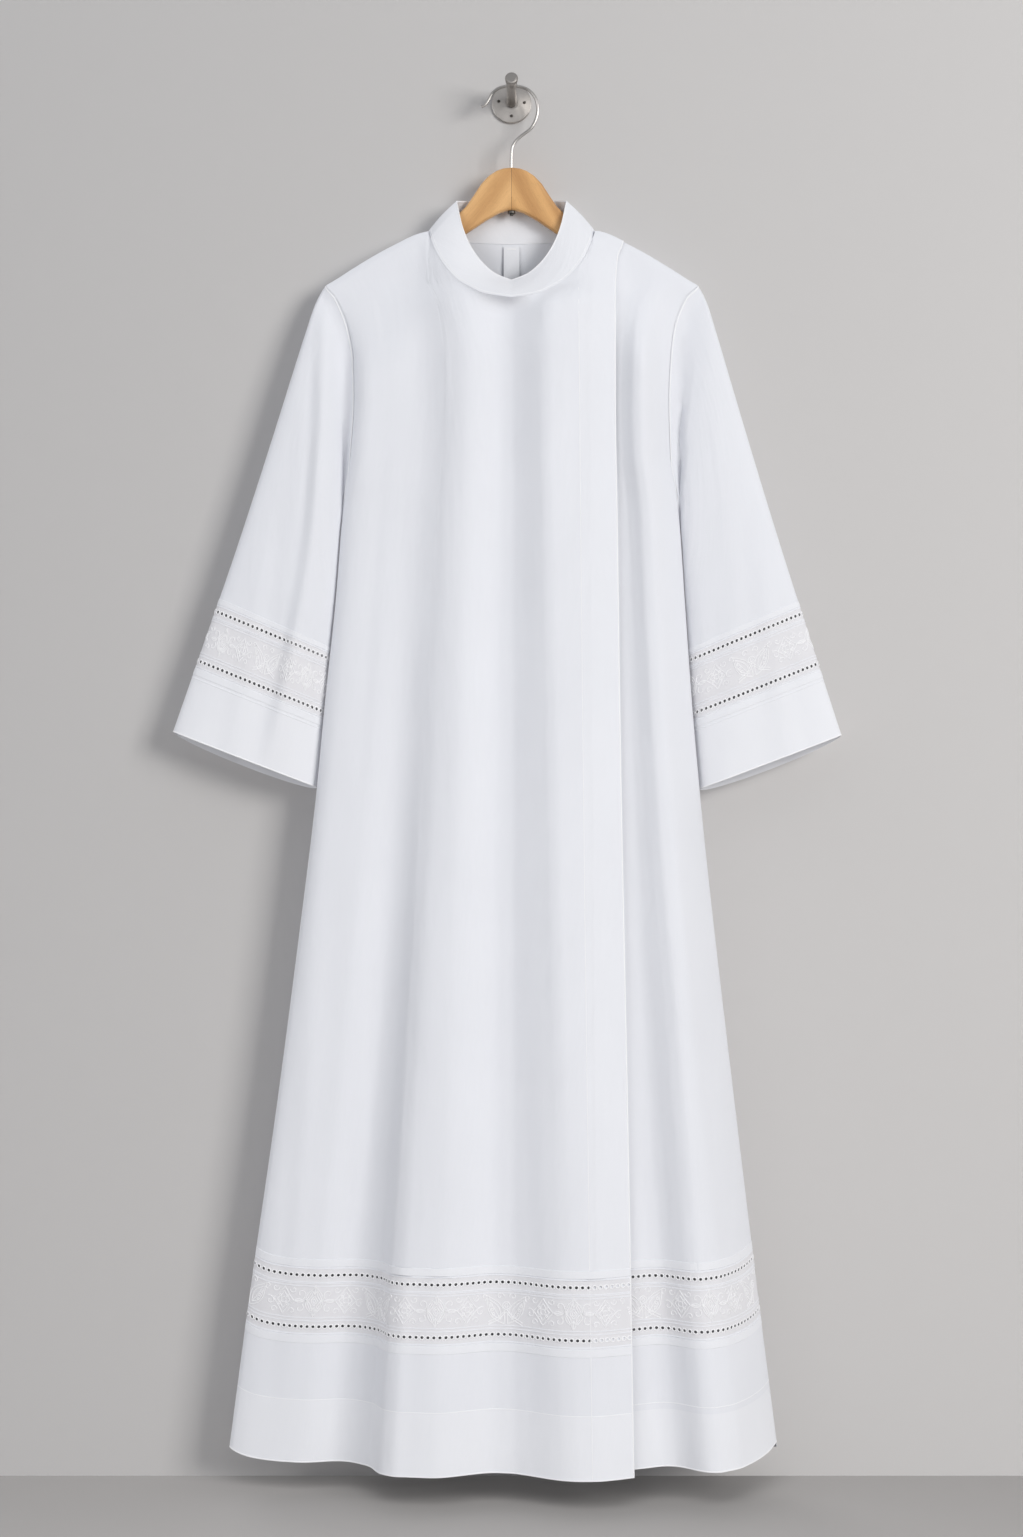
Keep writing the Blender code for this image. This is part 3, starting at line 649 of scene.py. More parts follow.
def body_columns(panel):
    """Column places, with two close together at each neck point, as on the solid."""
    places, _ = even_places(panel, COLUMNS_EVEN_AT, COLUMN_SPACING)
    start, end = (float(end_share(panel, side, TOP_OF_EDGES)) for side in (0, 1))
    for side in (-1, 1):
        if start < side * NECK_HALF / TIP_HALF < end:
            point, beside = [(side * out / TIP_HALF - start) / (end - start)
                             for out in (NECK_HALF, BESIDE_NECK_POINT)]
            places[np.argmin(abs(places - point))] = point
            places = np.unique(np.append(places, beside))
    return places


def side_seams(panel):
    """The column and the outward direction of each side seam of a panel."""
    return [seam for seam, end in zip(((0, -1), (-1, 1)), panel["ends"]) if end == "side"]


def panel_normals(panel, grid, on_top=False):
    """Normals of a panel; straight up on the shoulder seam, level at the side seams."""
    normal = surface_normals(grid, panel["facing"])
    if on_top:
        normal[0, abs(grid[0, :, 0]) >= NECK_HALF - NEAR] = (0, 0, 1)
        beside = abs(abs(grid[0, :, 0]) - BESIDE_NECK_POINT) < NEAR
        normal[:3, beside] = (0, -panel["facing"], 0)
    for col, sideways in side_seams(panel):
        normal[grid[:, col, 2] < UNDERARM + 1, col] = (sideways, 0, 0)
    return normal


for panel_name, panel in PANELS.items():
    places = body_columns(panel)
    main = panel_point_grid(panel, places, heights=main_heights)
    seam = abs(main[0, :, 0]) >= NECK_HALF - NEAR
    main[0, seam, 1] -= panel["facing"] * SEAM_CLEAR
    band = panel_point_grid(panel, places, np.concatenate([
        np.linspace(LACE_FOOT, HEM_FOLD, BAND_ROWS[0]),
        np.linspace(HEM_FOLD, 0, BAND_ROWS[1])[1:]]))
    body[panel_name] = {"places": places, "main": main, "band": band,
                        "main_normals": panel_normals(panel, main, on_top=True),
                        "band_normals": panel_normals(panel, band)}
    for col, _ in side_seams(panel):
        main[1:, col, 1] -= panel["facing"] * SEAM_CLEAR
        band[:, col, 1] -= panel["facing"] * SEAM_CLEAR
    for part, part_name in BODY_PARTS.items():
        grid = body[panel_name][part]
        shell = shell_parts(grid, body[panel_name][part + "_normals"],
                            flip=panel["facing"] < 0)
        piece = join_parts(f"{panel_name}_{part_name}", [shell])
        body[panel_name][part + "_piece"] = piece
        print(piece.name, len(piece.data.polygons), "faces,", round(cloth_area(grid), 3), "m2")

# %% [markdown]
# ## Sleeves
# Each sleeve is a flattened tube. It leaves the armhole's own edge, so its first ring is read
# from the fronts and the back, and it widens down to the cuff. The pull column says how much
# of the armhole's shape is still in a ring.

# %% Sleeve surface
SLEEVE_DEPTH = 40.0
SLEEVE_CLEARANCE = 1.0
CUFF_BACK_DROP = 9.0
CUFF_HALF = 18.0
CUFF_TAPER = 100
CLEAR_FROM_RING = 3
DEEP_FROM_RING = 4
DROP_FROM_RING, DROP_RINGS = 8, 3

# Each ring: its outer edge, that edge's height, its inner edge's height, half its depth, and
# how much of the armhole's shape it keeps.
SLEEVE = (
    (218.5, -222, -490, 15, 1),
    (224, -231, -496, 8, 0.72),
    (231, -246, -506, 10, 0.34),
    (240, -274, -522, 13, 0.08),
    (262, -345, -548, 15, 0),
    (300, -465, -584, 16, 0),
    (329, -553, -620, 17, 0),
)
# Each cuff: its side, outer edge, that edge's height, and its inner edge's height.
CUFFS = (
    (-1, 397, -748, -813),
    (1, 387, -752, -815),
)
SLEEVE_LACE_TOP = 157.0
SLEEVE_LACE_FOOT = 82.0
SLEEVE_BAND_MIDDLE = 119.5
CUFF_ROWS = (SLEEVE_LACE_TOP, SLEEVE_BAND_MIDDLE, SLEEVE_LACE_FOOT, 40.0, 0.0)
ARMHOLE_DROPS = (0.0, 2.0, 9.0, 32.0, 70.0)
ARMHOLE_LEVELS = (-345, -385, -420, -456, -490)
RUN_NAMES = "run out height inner half pull middle inner_out low"
SLEEVE_CREASES = (
    (238, 268, -330, -860, 14, 2.4),
    (258, 312, -400, -900, 13, -2.6),
    (276, 344, -480, -900, 14, 2.2),
    (232, 236, -560, -900, 10, -2.6),
    (300, 366, -560, -900, 12, -2.0),
)
UNDERARM_FOLD = columns(
    "height out depth",
    (-620, 201, 0),
    (-560, 199, 6),
    (-490, 199.5, 12),
    (-440, 201, 13),
    (-396, 203, 10),
    (-340, 208, 4),
    (-290, 212, 0),
)
ARM_FOLD = columns(
    "height out depth",
    (-800, 297, 0),
    (-720, 276, 6),
    (-640, 259, 9),
    (-547, 243, 8.5),
    (-477, 235, 8.5),
    (-395, 229.5, 8.5),
    (-336, 227, 8),
    (-277, 226, 7),
    (-240, 224, 0),
)
# Each fold: its table, half the width of its line, the run of its outer step, and the
# shortest run of its inner slope. The first sinks in, the second stands out.
SINKING_FOLD = (UNDERARM_FOLD, 0.0, 2.2, 5.0)
STANDING_FOLD = (ARM_FOLD, 9.0, 18.0, 8.0)
ARM_FOLD_SIDE = -1
SLEEVE_FULLNESS = 0.8
CREASE_FADE, UNDERARM_FADE = 0.7, 0.4
CREASE_START, UNDERARM_START = 25, 5
BACK_CREASE_SHIFT = 7


def sleeve_fold(fold_measures, out, height):
    """Depth of a long fold beside the armhole: a step outside, an easy slope inside."""
    table, half, step_run, least_run = fold_measures
    line, depth = curve(table, "out", height), curve(table, "depth", height)
    foot = line - half
    inside = (foot - out) / np.maximum(foot - half_width(-1.0, height), least_run)
    return depth * soft_step((line + half - out) / step_run) * np.clip(1 - inside, 0, 1)


def sleeve_run(side):
    """A sleeve's rings as a table, by distance from the shoulder along its outer edge."""
    _, cuff_out, cuff_height, cuff_inner = next(row for row in CUFFS if row[0] == side)
    stretch = (cuff_out - TIP_HALF) / (CUFFS[0][1] - TIP_HALF)
    rings = [(TIP_HALF + (out - TIP_HALF) * stretch, height, inner, half, pull)
             for out, height, inner, half, pull in SLEEVE]
    slope = unit(np.array((cuff_out - rings[-1][0], cuff_height - rings[-1][1])))
    for above in CUFF_ROWS:
        rings.append((cuff_out - slope[0] * above, cuff_height - slope[1] * above,
                      cuff_inner + above, CUFF_HALF - above / CUFF_TAPER, 0))
    table, run = [], 0.0
    for number, (out, height, inner, half, pull) in enumerate(rings):
        if number:
            run += math.hypot(out - rings[number - 1][0], height - rings[number - 1][1])
        clear = SLEEVE_CLEARANCE * min(number / CLEAR_FROM_RING, 1)
        shallow = max(0.0, 1 - number / DEEP_FROM_RING)
        middle = SLEEVE_DEPTH - (SLEEVE_DEPTH - RIDGE_DEPTH) * shallow
        inner_out = float(half_width(np.array(float(side)), float(inner))) + clear
        table.append((run, out, height, inner, half, pull, middle, inner_out,
                      CUFF_BACK_DROP * max(0, number - DROP_FROM_RING) / DROP_RINGS))
    return columns(RUN_NAMES, *table)


def armhole(side, turn):
    """The armhole's edge on the front (first half turn) and the back."""
    steps = len(ARMHOLE_DROPS) + len(ARMHOLE_LEVELS) - 1
    top = float(seam_top(FRONT_NECK, np.array(TIP_HALF))[0])
    levels = [top - drop for drop in ARMHOLE_DROPS] + list(ARMHOLE_LEVELS)
    place = np.where(turn <= np.pi, turn, 2 * np.pi - turn) / np.pi * steps
    height = np.interp(place, np.arange(steps + 1), levels)
    share = np.full(turn.shape, float(side))
    front = panel_surface(PANELS["upper_front" if side < 0 else "under_front"],
                          share, share, height)
    behind = panel_surface(PANELS["back"], share, share, height)
    edge = np.where((turn <= np.pi)[..., None], front, behind)
    edge[..., 0] = abs(edge[..., 0]) + 2 * SEAM_CLEAR
    return edge


def sleeve_surface(side, turn, run):
    """Outer points of a sleeve at a turn round it and a distance from the shoulder."""
    table = sleeve_run(side)
    out, height, inner, half, pull, middle, inner_out, low = [
        curve(table, name, run) for name in RUN_NAMES.split()[1:]]
    across = (1 - np.cos(turn)) / 2
    bulge = half * np.sign(np.sin(turn)) * abs(np.sin(turn)) ** SLEEVE_FULLNESS
    hang = low * np.clip(-np.sin(turn), 0, 1)
    ring = np.stack([out + (inner_out - out) * across,
                     -middle - (SLEEVE_DEPTH - middle) * across - bulge,
                     height + (inner - height) * across - hang], axis=-1)
    start = {name: values[0] for name, values in table.items()}
    first = np.stack([TIP_HALF + (start["inner_out"] - TIP_HALF) * across,
                      -RIDGE_DEPTH - (SLEEVE_DEPTH - RIDGE_DEPTH) * across
                      - bulge / half * start["half"],
                      start["height"] + (start["inner"] - start["height"]) * across], axis=-1)
    ring += (armhole(side, turn) - first) * pull[..., None]
    facing = np.sin(turn)
    out, height = ring[..., 0], ring[..., 2]
    fade = abs(facing) ** CREASE_FADE * soft_step(run / CREASE_START)
    pushed = creases(SLEEVE_CREASES, out + BACK_CREASE_SHIFT * (facing < 0), height)
    if side == ARM_FOLD_SIDE:
        pushed = pushed + sleeve_fold(STANDING_FOLD, out, height) * (facing > 0)
    folded = sleeve_fold(SINKING_FOLD, out, height) * soft_step(run / UNDERARM_START)
    ring[..., 1] -= np.sign(facing) * (fade * pushed - abs(facing) ** UNDERARM_FADE * folded)
    ring[..., 0] *= side
    return ring


SLEEVE_TURNS = 96
SLEEVE_NAMES = {-1: "right_sleeve", 1: "left_sleeve"}
SLEEVE_PARTS = {"upper": "cloth", "cuff": "cuff_band"}
SLEEVE_TOP_ROWS = (0, 1.5, 4, 8, 13, 19, 26, 34)
SLEEVE_ROW_SPACING = 8
SLEEVE_CUFF_ROWS = 14
sleeves = {}


def sleeve_grid(side, runs, turns=None):
    """Rings of a sleeve, one for each distance from the shoulder."""
    turns = 2 * np.pi * np.arange(SLEEVE_TURNS) / SLEEVE_TURNS if turns is None else turns
    turn, run = np.meshgrid(turns, np.asarray(runs, float))
    return sleeve_surface(side, turn, run)


def outward(grid):
    """Normals of a tube, turned away from its middle, and the sign that turned them."""
    normal = surface_normals(grid, 1, True)
    away = grid - grid.mean(axis=1, keepdims=True)
    sign = np.sign((normal * away).sum(axis=2).mean())
    return normal * sign, sign


for side, name in SLEEVE_NAMES.items():
    whole = sleeve_run(side)["run"][-1]
    lace_top = whole - SLEEVE_LACE_TOP
    count = int((lace_top - SLEEVE_TOP_ROWS[-1]) / SLEEVE_ROW_SPACING)
    upper_runs = [*SLEEVE_TOP_ROWS[:-1], *np.linspace(SLEEVE_TOP_ROWS[-1], lace_top, count)]
    cuff_runs = whole - np.linspace(SLEEVE_LACE_FOOT, 0, SLEEVE_CUFF_ROWS)
    sleeves[side] = {"length": whole}
    for part, runs in (("upper", upper_runs), ("cuff", cuff_runs)):
        grid = sleeve_grid(side, runs)
        normal, sign = outward(grid)
        if part == "upper":
            normal[0, :, 0] = 0
            normal[0] = unit(normal[0])
        sleeves[side][part] = grid
        sleeves[side]["flip"] = sign < 0
        shell = shell_parts(grid, normal, closed=True, flip=sign < 0)
        piece = join_parts(f"{name}_{SLEEVE_PARTS[part]}", [shell])
        sleeves[side][part + "_piece"] = piece
        print(piece.name, len(piece.data.polygons), "faces,",
              round(cloth_area(grid, True), 3), "m2")

# %% [markdown]
# ## Openwork
# Threads are drawn out of the cloth and the rest is whipped together, which leaves a row of
# small holes with thick white rims. A hole in the material would be flat, so each hole is cut
# in the mesh: a cell of the cloth with an eight-sided hole, and a raised rim round it.

# %% Rows of holes
HOLE_PITCH = 6.9
HOLE_HALF = (0.54, 0.52)
SLEEVE_HOLE_HALF = (0.59, 0.56)
HOLE_ROWS = (215.0, 156.0)
CELL_HALF = 3.3
RING_STEPS = ((1.7, 0.0), (1.38, 0.5), (1.0, 0.24))
AROUND = ((-1, 1), (0, 1), (1, 1), (1, 0), (1, -1), (0, -1), (-1, -1), (-1, 0))
SIDES = len(AROUND)


def hole_strip(grid, normals, closed, flip, hole):
    """A strip of cloth with one hole in each cell. Its grid has five rows: top, cell top,
    middle of the holes, cell foot, foot; and two columns for each cell."""
    points, faces, places = shell_parts(grid, normals, closed, flip, skip=(1, 2))
    rows, cols, _ = grid.shape
    count = rows * cols
    points, places = [points], [places]
    start = 2 * count
    for cell in range(cols // 2):
        mid, left, right = 2 * cell + 1, 2 * cell, (2 * cell + 2) % cols
        centre = grid[2, mid]
        lift = normals[2, mid]
        half_across = (grid[2, right] - grid[2, left]) / 2
        half_up = (grid[1, mid] - grid[3, mid]) / 2
        border = [(2 - up) * cols + (left, mid, right)[across + 1] for across, up in AROUND]
        rings = []
        for size, rise in RING_STEPS + ((1.0, -CLOTH),):
            for across, up in AROUND:
                reach = size / math.hypot(across, up)
                spot = (centre + half_across * hole[0] * across * reach
                        + half_up * hole[1] * up * reach)
                points.append((spot + lift * rise)[None])
            rings.append(list(range(start, start + SIDES)))
            start += SIDES
        places.append(np.repeat(places[0][mid + 2 * cols][None], SIDES * len(rings), axis=0))
        inner_border = [i + count for i in border]
        loops = [border] + rings + [inner_border]
        for outer_ring, inner_ring in zip(loops, loops[1:]):
            for k in range(SIDES):
                after = (k + 1) % SIDES
                face = (outer_ring[k], inner_ring[k], inner_ring[after], outer_ring[after])
                faces.append(face[::-1] if flip else face)
    return np.concatenate(points), faces, np.concatenate(places)


def rim_faces(part, cells):
    """1 for each face of a strip's worked rims, 0 for each face of its plain cloth."""
    cell = np.repeat((0, 1, 0), (SIDES, SIDES * len(RING_STEPS), SIDES))
    plain = np.zeros(len(part[1]) - len(cell) * cells, np.int32)
    return np.concatenate([plain, np.tile(cell, cells)]).astype(np.int32)


def cell_places(row, fine, pitch):
    """Column places, two for each hole, evenly spaced along a row of fine points."""
    run = line_run(row)
    count = int(round(run[-1] / pitch))
    return np.interp(np.linspace(0, run[-1], 2 * count + 1), run, fine)


def lace_piece(name, grid_at, normals_of, measures, field_places, closed, flip):
    """The openwork of one panel or sleeve: two strips of holes and the field between them."""
    pitch, hole, fine, middles, field, ends = measures
    parts, rims, holes = [], [], 0
    for middle, top, foot in ((middles[0], ends[0], field[0]), (middles[1], field[1], ends[1])):
        places = cell_places(grid_at([middle], fine)[0], fine, pitch)
        places = places[:-1] if closed else places
        grid = grid_at((top, middle + CELL_HALF, middle, middle - CELL_HALF, foot), places)
        parts.append(hole_strip(grid, normals_of(grid), closed, flip, hole))
        rims.append(rim_faces(parts[-1], len(places) // 2))
        holes += len(places) // 2
    grid = grid_at(np.linspace(*field, FIELD_ROWS), field_places)
    parts.append(shell_parts(grid, normals_of(grid), closed=closed, flip=flip))
    rims.append(np.zeros(len(parts[-1][1]), np.int32))
    piece = join_parts(f"{name}_openwork", parts)
    piece.data.polygons.foreach_set("material_index", np.concatenate(rims))
    print(piece.name, len(piece.data.polygons), "faces,", holes, "holes")
    return piece


FIELD_SPACING = 3.2
FIELD_ROWS = 12
LACE_FIELD = (208.0, 163.0)
BODY_LACE = (HOLE_PITCH, HOLE_HALF, np.linspace(0, 1, FINE_PLACES), HOLE_ROWS, LACE_FIELD,
             (LACE_TOP, LACE_FOOT))
for panel_name, panel in PANELS.items():
    body[panel_name]["lace_piece"] = lace_piece(
        panel_name, lambda rows, places: panel_point_grid(panel, places, rows),
        lambda grid: panel_normals(panel, grid), BODY_LACE,
        even_places(panel, sum(LACE_FIELD) / 2, FIELD_SPACING)[0], False, panel["facing"] < 0)

SLEEVE_PITCH = 5.8
SLEEVE_HOLE_ROWS = (150.0, 88.5)
SLEEVE_FIELD = (143.5, 95.0)
SLEEVE_LACE = (SLEEVE_PITCH, SLEEVE_HOLE_HALF, np.linspace(0, 2 * np.pi, FINE_PLACES),
               SLEEVE_HOLE_ROWS, SLEEVE_FIELD, (SLEEVE_LACE_TOP, SLEEVE_LACE_FOOT))
for side, name in SLEEVE_NAMES.items():
    whole = sleeves[side]["length"]
    sleeves[side]["lace_piece"] = lace_piece(
        name, lambda rows, turns: sleeve_grid(side, whole - np.asarray(rows), turns),
        lambda grid: outward(grid)[0], SLEEVE_LACE, None, True, sleeves[side]["flip"])

# %% [markdown]
# ## Collar and tape
# The collar is one upright band sewn to the neck. It is built on the neck seam's own points,
# so that it follows the cloth, and it leans in as it rises. A short tape is stitched inside
# the back, where such a garment is hung up.

# %% Collar
FRONT_COLLAR = columns(
    "share out height depth",
    (0, 0, -221, 54),
    (0.3, 19, -213, 53),
    (0.55, 34, -200, 51),
    (0.75, 47, -182, 49),
    (0.9, 58, -156, 45),
    (1, 65, -124, 34),
)
BACK_COLLAR = columns(
    "share out height depth",
    (0, 0, -120, 15),
    (0.5, 32, -120, 16),
    (0.8, 51, -121, 20),
    (1, 65, -124, 34),
)
COLLAR_BULGE = 2.0
COLLAR_LEVELS = 12
COLLAR_WALL = 1.2


def collar_grid():
    """Points of the collar, rows from the neck seam up, columns from the wearer's left neck
    point round the back and then round the front; and the direction it is sewn on in."""
    base, rim, lean = [], [], []
    for panel_name, table, order in (("back", BACK_COLLAR, -1),
                                     ("upper_front", FRONT_COLLAR, 1)):
        points = body[panel_name]["main"][0]
        normal = body[panel_name]["main_normals"][0]
        inside = [c for c in range(len(points)) if abs(points[c, 0]) <= NECK_HALF + NEAR]
        for col in inside[::order]:
            at_neck_point = abs(points[col, 0]) > NECK_HALF - NEAR
            if at_neck_point and points[col, 0] < 0 and order == 1:
                continue
            share = min(abs(points[col, 0]) / NECK_HALF, 1.0)
            out, height, depth = [curve(table, name, share)
                                  for name in ("out", "height", "depth")]
            base.append(points[col])
            rim.append((math.copysign(out, points[col, 0]), -depth, height))
            lean.append(normal[col])
    base, rim, lean = np.array(base), np.array(rim, float), np.array(lean)
    for end, shift in ((0, SEAM_CLEAR), (-1, -SEAM_CLEAR)):
        base[end, 1] = -RIDGE_DEPTH + shift
        rim[end, 1] += shift
    rows = []
    for share in np.linspace(0, 1, COLLAR_LEVELS):
        level = (base + unit(rim - base) * SEAM_CLEAR) * (1 - share) + rim * share
        away = level - level.mean(axis=0)
        away[:, 2] = 0
        rows.append(level + COLLAR_BULGE * math.sin(math.pi * share) * unit(away))
    return np.array(rows), lean


collar, collar_lean = collar_grid()
collar_normals, collar_sign = outward(collar)
collar_normals[0] = collar_lean
collar_normals[:, [0, -1]] = unit(collar_normals[:, :1] + collar_normals[:, -1:])
collar_piece = join_parts("stand_collar", [shell_parts(
    collar, collar_normals, closed=True, flip=collar_sign < 0, wall=COLLAR_WALL)])
print(collar_piece.name, round(cloth_area(collar, True), 4), "m2")

# %% [markdown]
# ## Stitches, tucks and seams
# Fine raised lines carry most of the handwork: tucks beside the openwork, the turned edges,
# rows of stitches. Each one is a slim ridge laid on the cloth's own surface, so that it
# follows every fold. A painted line would catch no light.

# %% Ridges on the cloth
RIDGE_SECTION = ((-0.5, -0.12), (-0.27, 0.8), (0.27, 0.8), (0.5, -0.12))
RIDGE_SINK = 0.25
RIDGE_GIRTH = 0.4
LINE_INSET = 0.4
UP_STEP, ACROSS_STEP = 1.0, 0.5
TURNED_AT, SLEEVE_TURNED_AT = 300.0, 60.0
LINE_SPACING = 6.0
RING_POINTS = 110
TURN_STEP = 0.01


def on_panel(panel, place, above):
    """Points of a panel at pairs of column place and distance above the hem."""
    top_share = share_at(panel, place, TOP_OF_EDGES)
    height = hem_of(share_at(panel, place, HEM_HEIGHT), panel["rise"]) + above
    return panel_surface(panel, top_share, share_at(panel, place, height), height)


def on_sleeve(side, turn, above):
    """Points of a sleeve at pairs of turn and distance above the cuff's edge."""
    return sleeve_surface(side, turn, sleeves[side]["length"] - above)


def with_normals(surface, first, above, step, sign):
    """Points of a surface and their outward normals, from four neighbours of each."""
    points = surface(first, above)
    across = surface(first + step, above) - surface(first - step, above)
    up = surface(first, above + UP_STEP) - surface(first, above - UP_STEP)
    return points, sign * unit(np.cross(across, up))


def ridge_parts(points, normals, width, rise, closed=False):
    """Points, faces and flat places of one slim ridge along a line on the cloth."""
    count, ring = len(points), len(RIDGE_SECTION)
    if closed:
        along = unit(np.roll(points, -1, axis=0) - np.roll(points, 1, axis=0))
    else:
        along = unit(np.gradient(points, axis=0))
    sideways = unit(np.cross(normals, along))
    rows = [points + sideways * side * width + normals * (up * rise if up > 0 else -RIDGE_SINK)
            for side, up in RIDGE_SECTION]
    faces = []
    for number in range(count if closed else count - 1):
        here, there = number * ring, (number + 1) % count * ring
        faces += [(here + k, here + (k + 1) % ring, there + (k + 1) % ring, there + k)
                  for k in range(ring)]
    if not closed:
        faces.append(tuple(range(ring))[::-1])
        faces.append(tuple(range((count - 1) * ring, count * ring)))
    places = np.stack([np.repeat(line_run(points), ring),
                       np.tile(np.arange(ring) * RIDGE_GIRTH, count)], axis=1)
    return np.stack(rows, axis=1).reshape(-1, 3), faces, places


def panel_lines(panel, levels, spacing=LINE_SPACING):
    """Lines across a panel at distances above its hem, with their normals."""
    places, run = even_places(panel, levels[0], spacing)
    places = np.clip(places, LINE_INSET / run, 1 - LINE_INSET / run)
    return [with_normals(lambda place, up: on_panel(panel, place, up), places,
                         np.full(len(places), float(above)), ACROSS_STEP / run, panel["turned"])
            for above in levels]


def sleeve_lines(side, levels, count=RING_POINTS):
    """Rings round a sleeve at distances above its cuff's edge, with their normals."""
    turns = 2 * np.pi * np.arange(count) / count
    return [with_normals(lambda turn, up: on_sleeve(side, turn, up), turns,
                         np.full(count, float(above)), TURN_STEP, sleeves[side]["turned"])
            for above in levels]


for panel in PANELS.values():
    panel["turned"] = 1
    normals = panel_lines(panel, (TURNED_AT,))[0][1]
    panel["turned"] = 1 if (normals[:, 1] * -panel["facing"]).mean() > 0 else -1
for side in SLEEVE_NAMES:
    sleeves[side]["turned"] = 1
    points, normals = sleeve_lines(side, (SLEEVE_TURNED_AT,))[0]
    sleeves[side]["turned"] = 1 if (normals * (points - points.mean(axis=0))).sum() > 0 else -1
print("outward:", {name: panel["turned"] for name, panel in PANELS.items()},
      {name: sleeves[side]["turned"] for side, name in SLEEVE_NAMES.items()})

# %% [markdown]
# The openwork band is joined to the plain cloth by narrow turned strips, which are double
# and so look whiter. Three or four fine tucks run beside each row of holes.

# %% Tucks and turned strips
TUCKS = (222.8, 207.0, 205.4, 202.4, 166.0, 162.4, 147.6)
SLEEVE_TUCKS = (157.2, 143.0, 141.4, 138.6, 98.6, 95.2, 81.6, 68.0)
TUCK = (1.5, 0.55)
TURNED_STRIPS = ((233.5, 224.5), (146.0, 137.0))
SLEEVE_STRIPS = ((165.5, 158.8), (79.6, 71.5))
STRIP_RISE = 0.45
STRIP_WALL = 0.8 * STRIP_RISE
STRIP_EDGES = (0.35, 0.9)
STRIP_SPACING = 8.0
STRIP_POINTS = 90


def strip_parts(lines, closed):
    """A narrow double strip on the cloth: its face a little proud, its edges turned down."""
    normals = np.array([line[1] for line in lines])
    grid = np.array([line[0] for line in lines])
    grid[1:-1] += normals[1:-1] * STRIP_RISE
    flip = (surface_normals(grid, 1, closed) * normals).sum() < 0
    return shell_parts(grid, normals, closed, flip, wall=STRIP_WALL)


def strip_rows(top, foot):
    """Distances above the edge for a strip's rows: turned-down edges and a flat face."""
    narrow, wide = STRIP_EDGES
    return top, top - narrow, top - wide, foot + wide, foot + narrow, foot


def tucks_and_strips(name, made, closed, tuck_lines, strip_lines):
    """The tucks and the turned strips of one panel or sleeve."""
    made["tucks"] = join_parts(f"{name}_tucks", [
        ridge_parts(*line, *TUCK, closed=closed) for line in tuck_lines])
    made["strips"] = join_parts(f"{name}_turned_strips", [
        strip_parts(lines, closed) for lines in strip_lines])


for panel_name, panel in PANELS.items():
    tucks_and_strips(panel_name, body[panel_name], False, panel_lines(panel, TUCKS), [
        panel_lines(panel, strip_rows(*strip), STRIP_SPACING) for strip in TURNED_STRIPS])
for side, name in SLEEVE_NAMES.items():
    tucks_and_strips(name, sleeves[side], True, sleeve_lines(side, SLEEVE_TUCKS), [
        sleeve_lines(side, strip_rows(*strip), STRIP_POINTS) for strip in SLEEVE_STRIPS])
print(len(TUCKS), "tucks round the skirt,", len(SLEEVE_TUCKS), "round each sleeve")

# %% [markdown]
# ## Embroidery
# The lace field carries white-on-white needlework: a medallion of two leaning leaves, a
# double lozenge with curls on both sides of it, and leafy sprigs between two medallions. The
# drawing is worked out from arcs and spirals here. It follows no maker's pattern.

# %% Drawing the motif
MOTIF_PITCH = 165.0
SIDE_POINTS, LEAF_POINTS = 7, 8


def arc_line(centre, radius, start, end, radius_end=None, steps=12):
    """An arc or, with another end radius, a spiral; angles in degrees."""
    angle = np.radians(np.linspace(start, end, steps))
    size = np.linspace(radius, radius if radius_end is None else radius_end, steps)
    return np.stack([centre[0] + size * np.cos(angle), centre[1] + size * np.sin(angle)], 1)


def lozenge(centre, half_width, half_height, curved=0.0):
    """A closed lozenge whose sides may curve in."""
    corners = np.array([(half_width, 0), (0, half_height), (-half_width, 0),
                        (0, -half_height), (half_width, 0)])
    t = np.linspace(0, 1, SIDE_POINTS)[:, None]
    sides = [(a + (b - a) * t) * (1 - curved * 4 * t * (1 - t))
             for a, b in zip(corners, corners[1:])]
    return np.concatenate(sides) + centre


def leaf(root, angle, length, width):
    """A pointed leaf as a closed line, and its vein."""
    t = np.linspace(0, 1, LEAF_POINTS)
    side = width * np.sin(np.pi * t) * (1 - 0.35 * t)
    loop = np.concatenate([np.stack([t * length, side], 1),
                           np.stack([t[::-1] * length, -side[::-1]], 1)])
    vein = np.array([(0.05 * length, 0), (0.85 * length, 0)])
    c, s = math.cos(math.radians(angle)), math.sin(math.radians(angle))
    turn = np.array([(c, s), (-s, c)])
    return [loop @ turn + root, vein @ turn + root]


def mirrored(lines):
    """Lines with their copies over the motif's upright middle line."""
    return [line * np.array((sign, 1)) for line in lines for sign in (1, -1)]


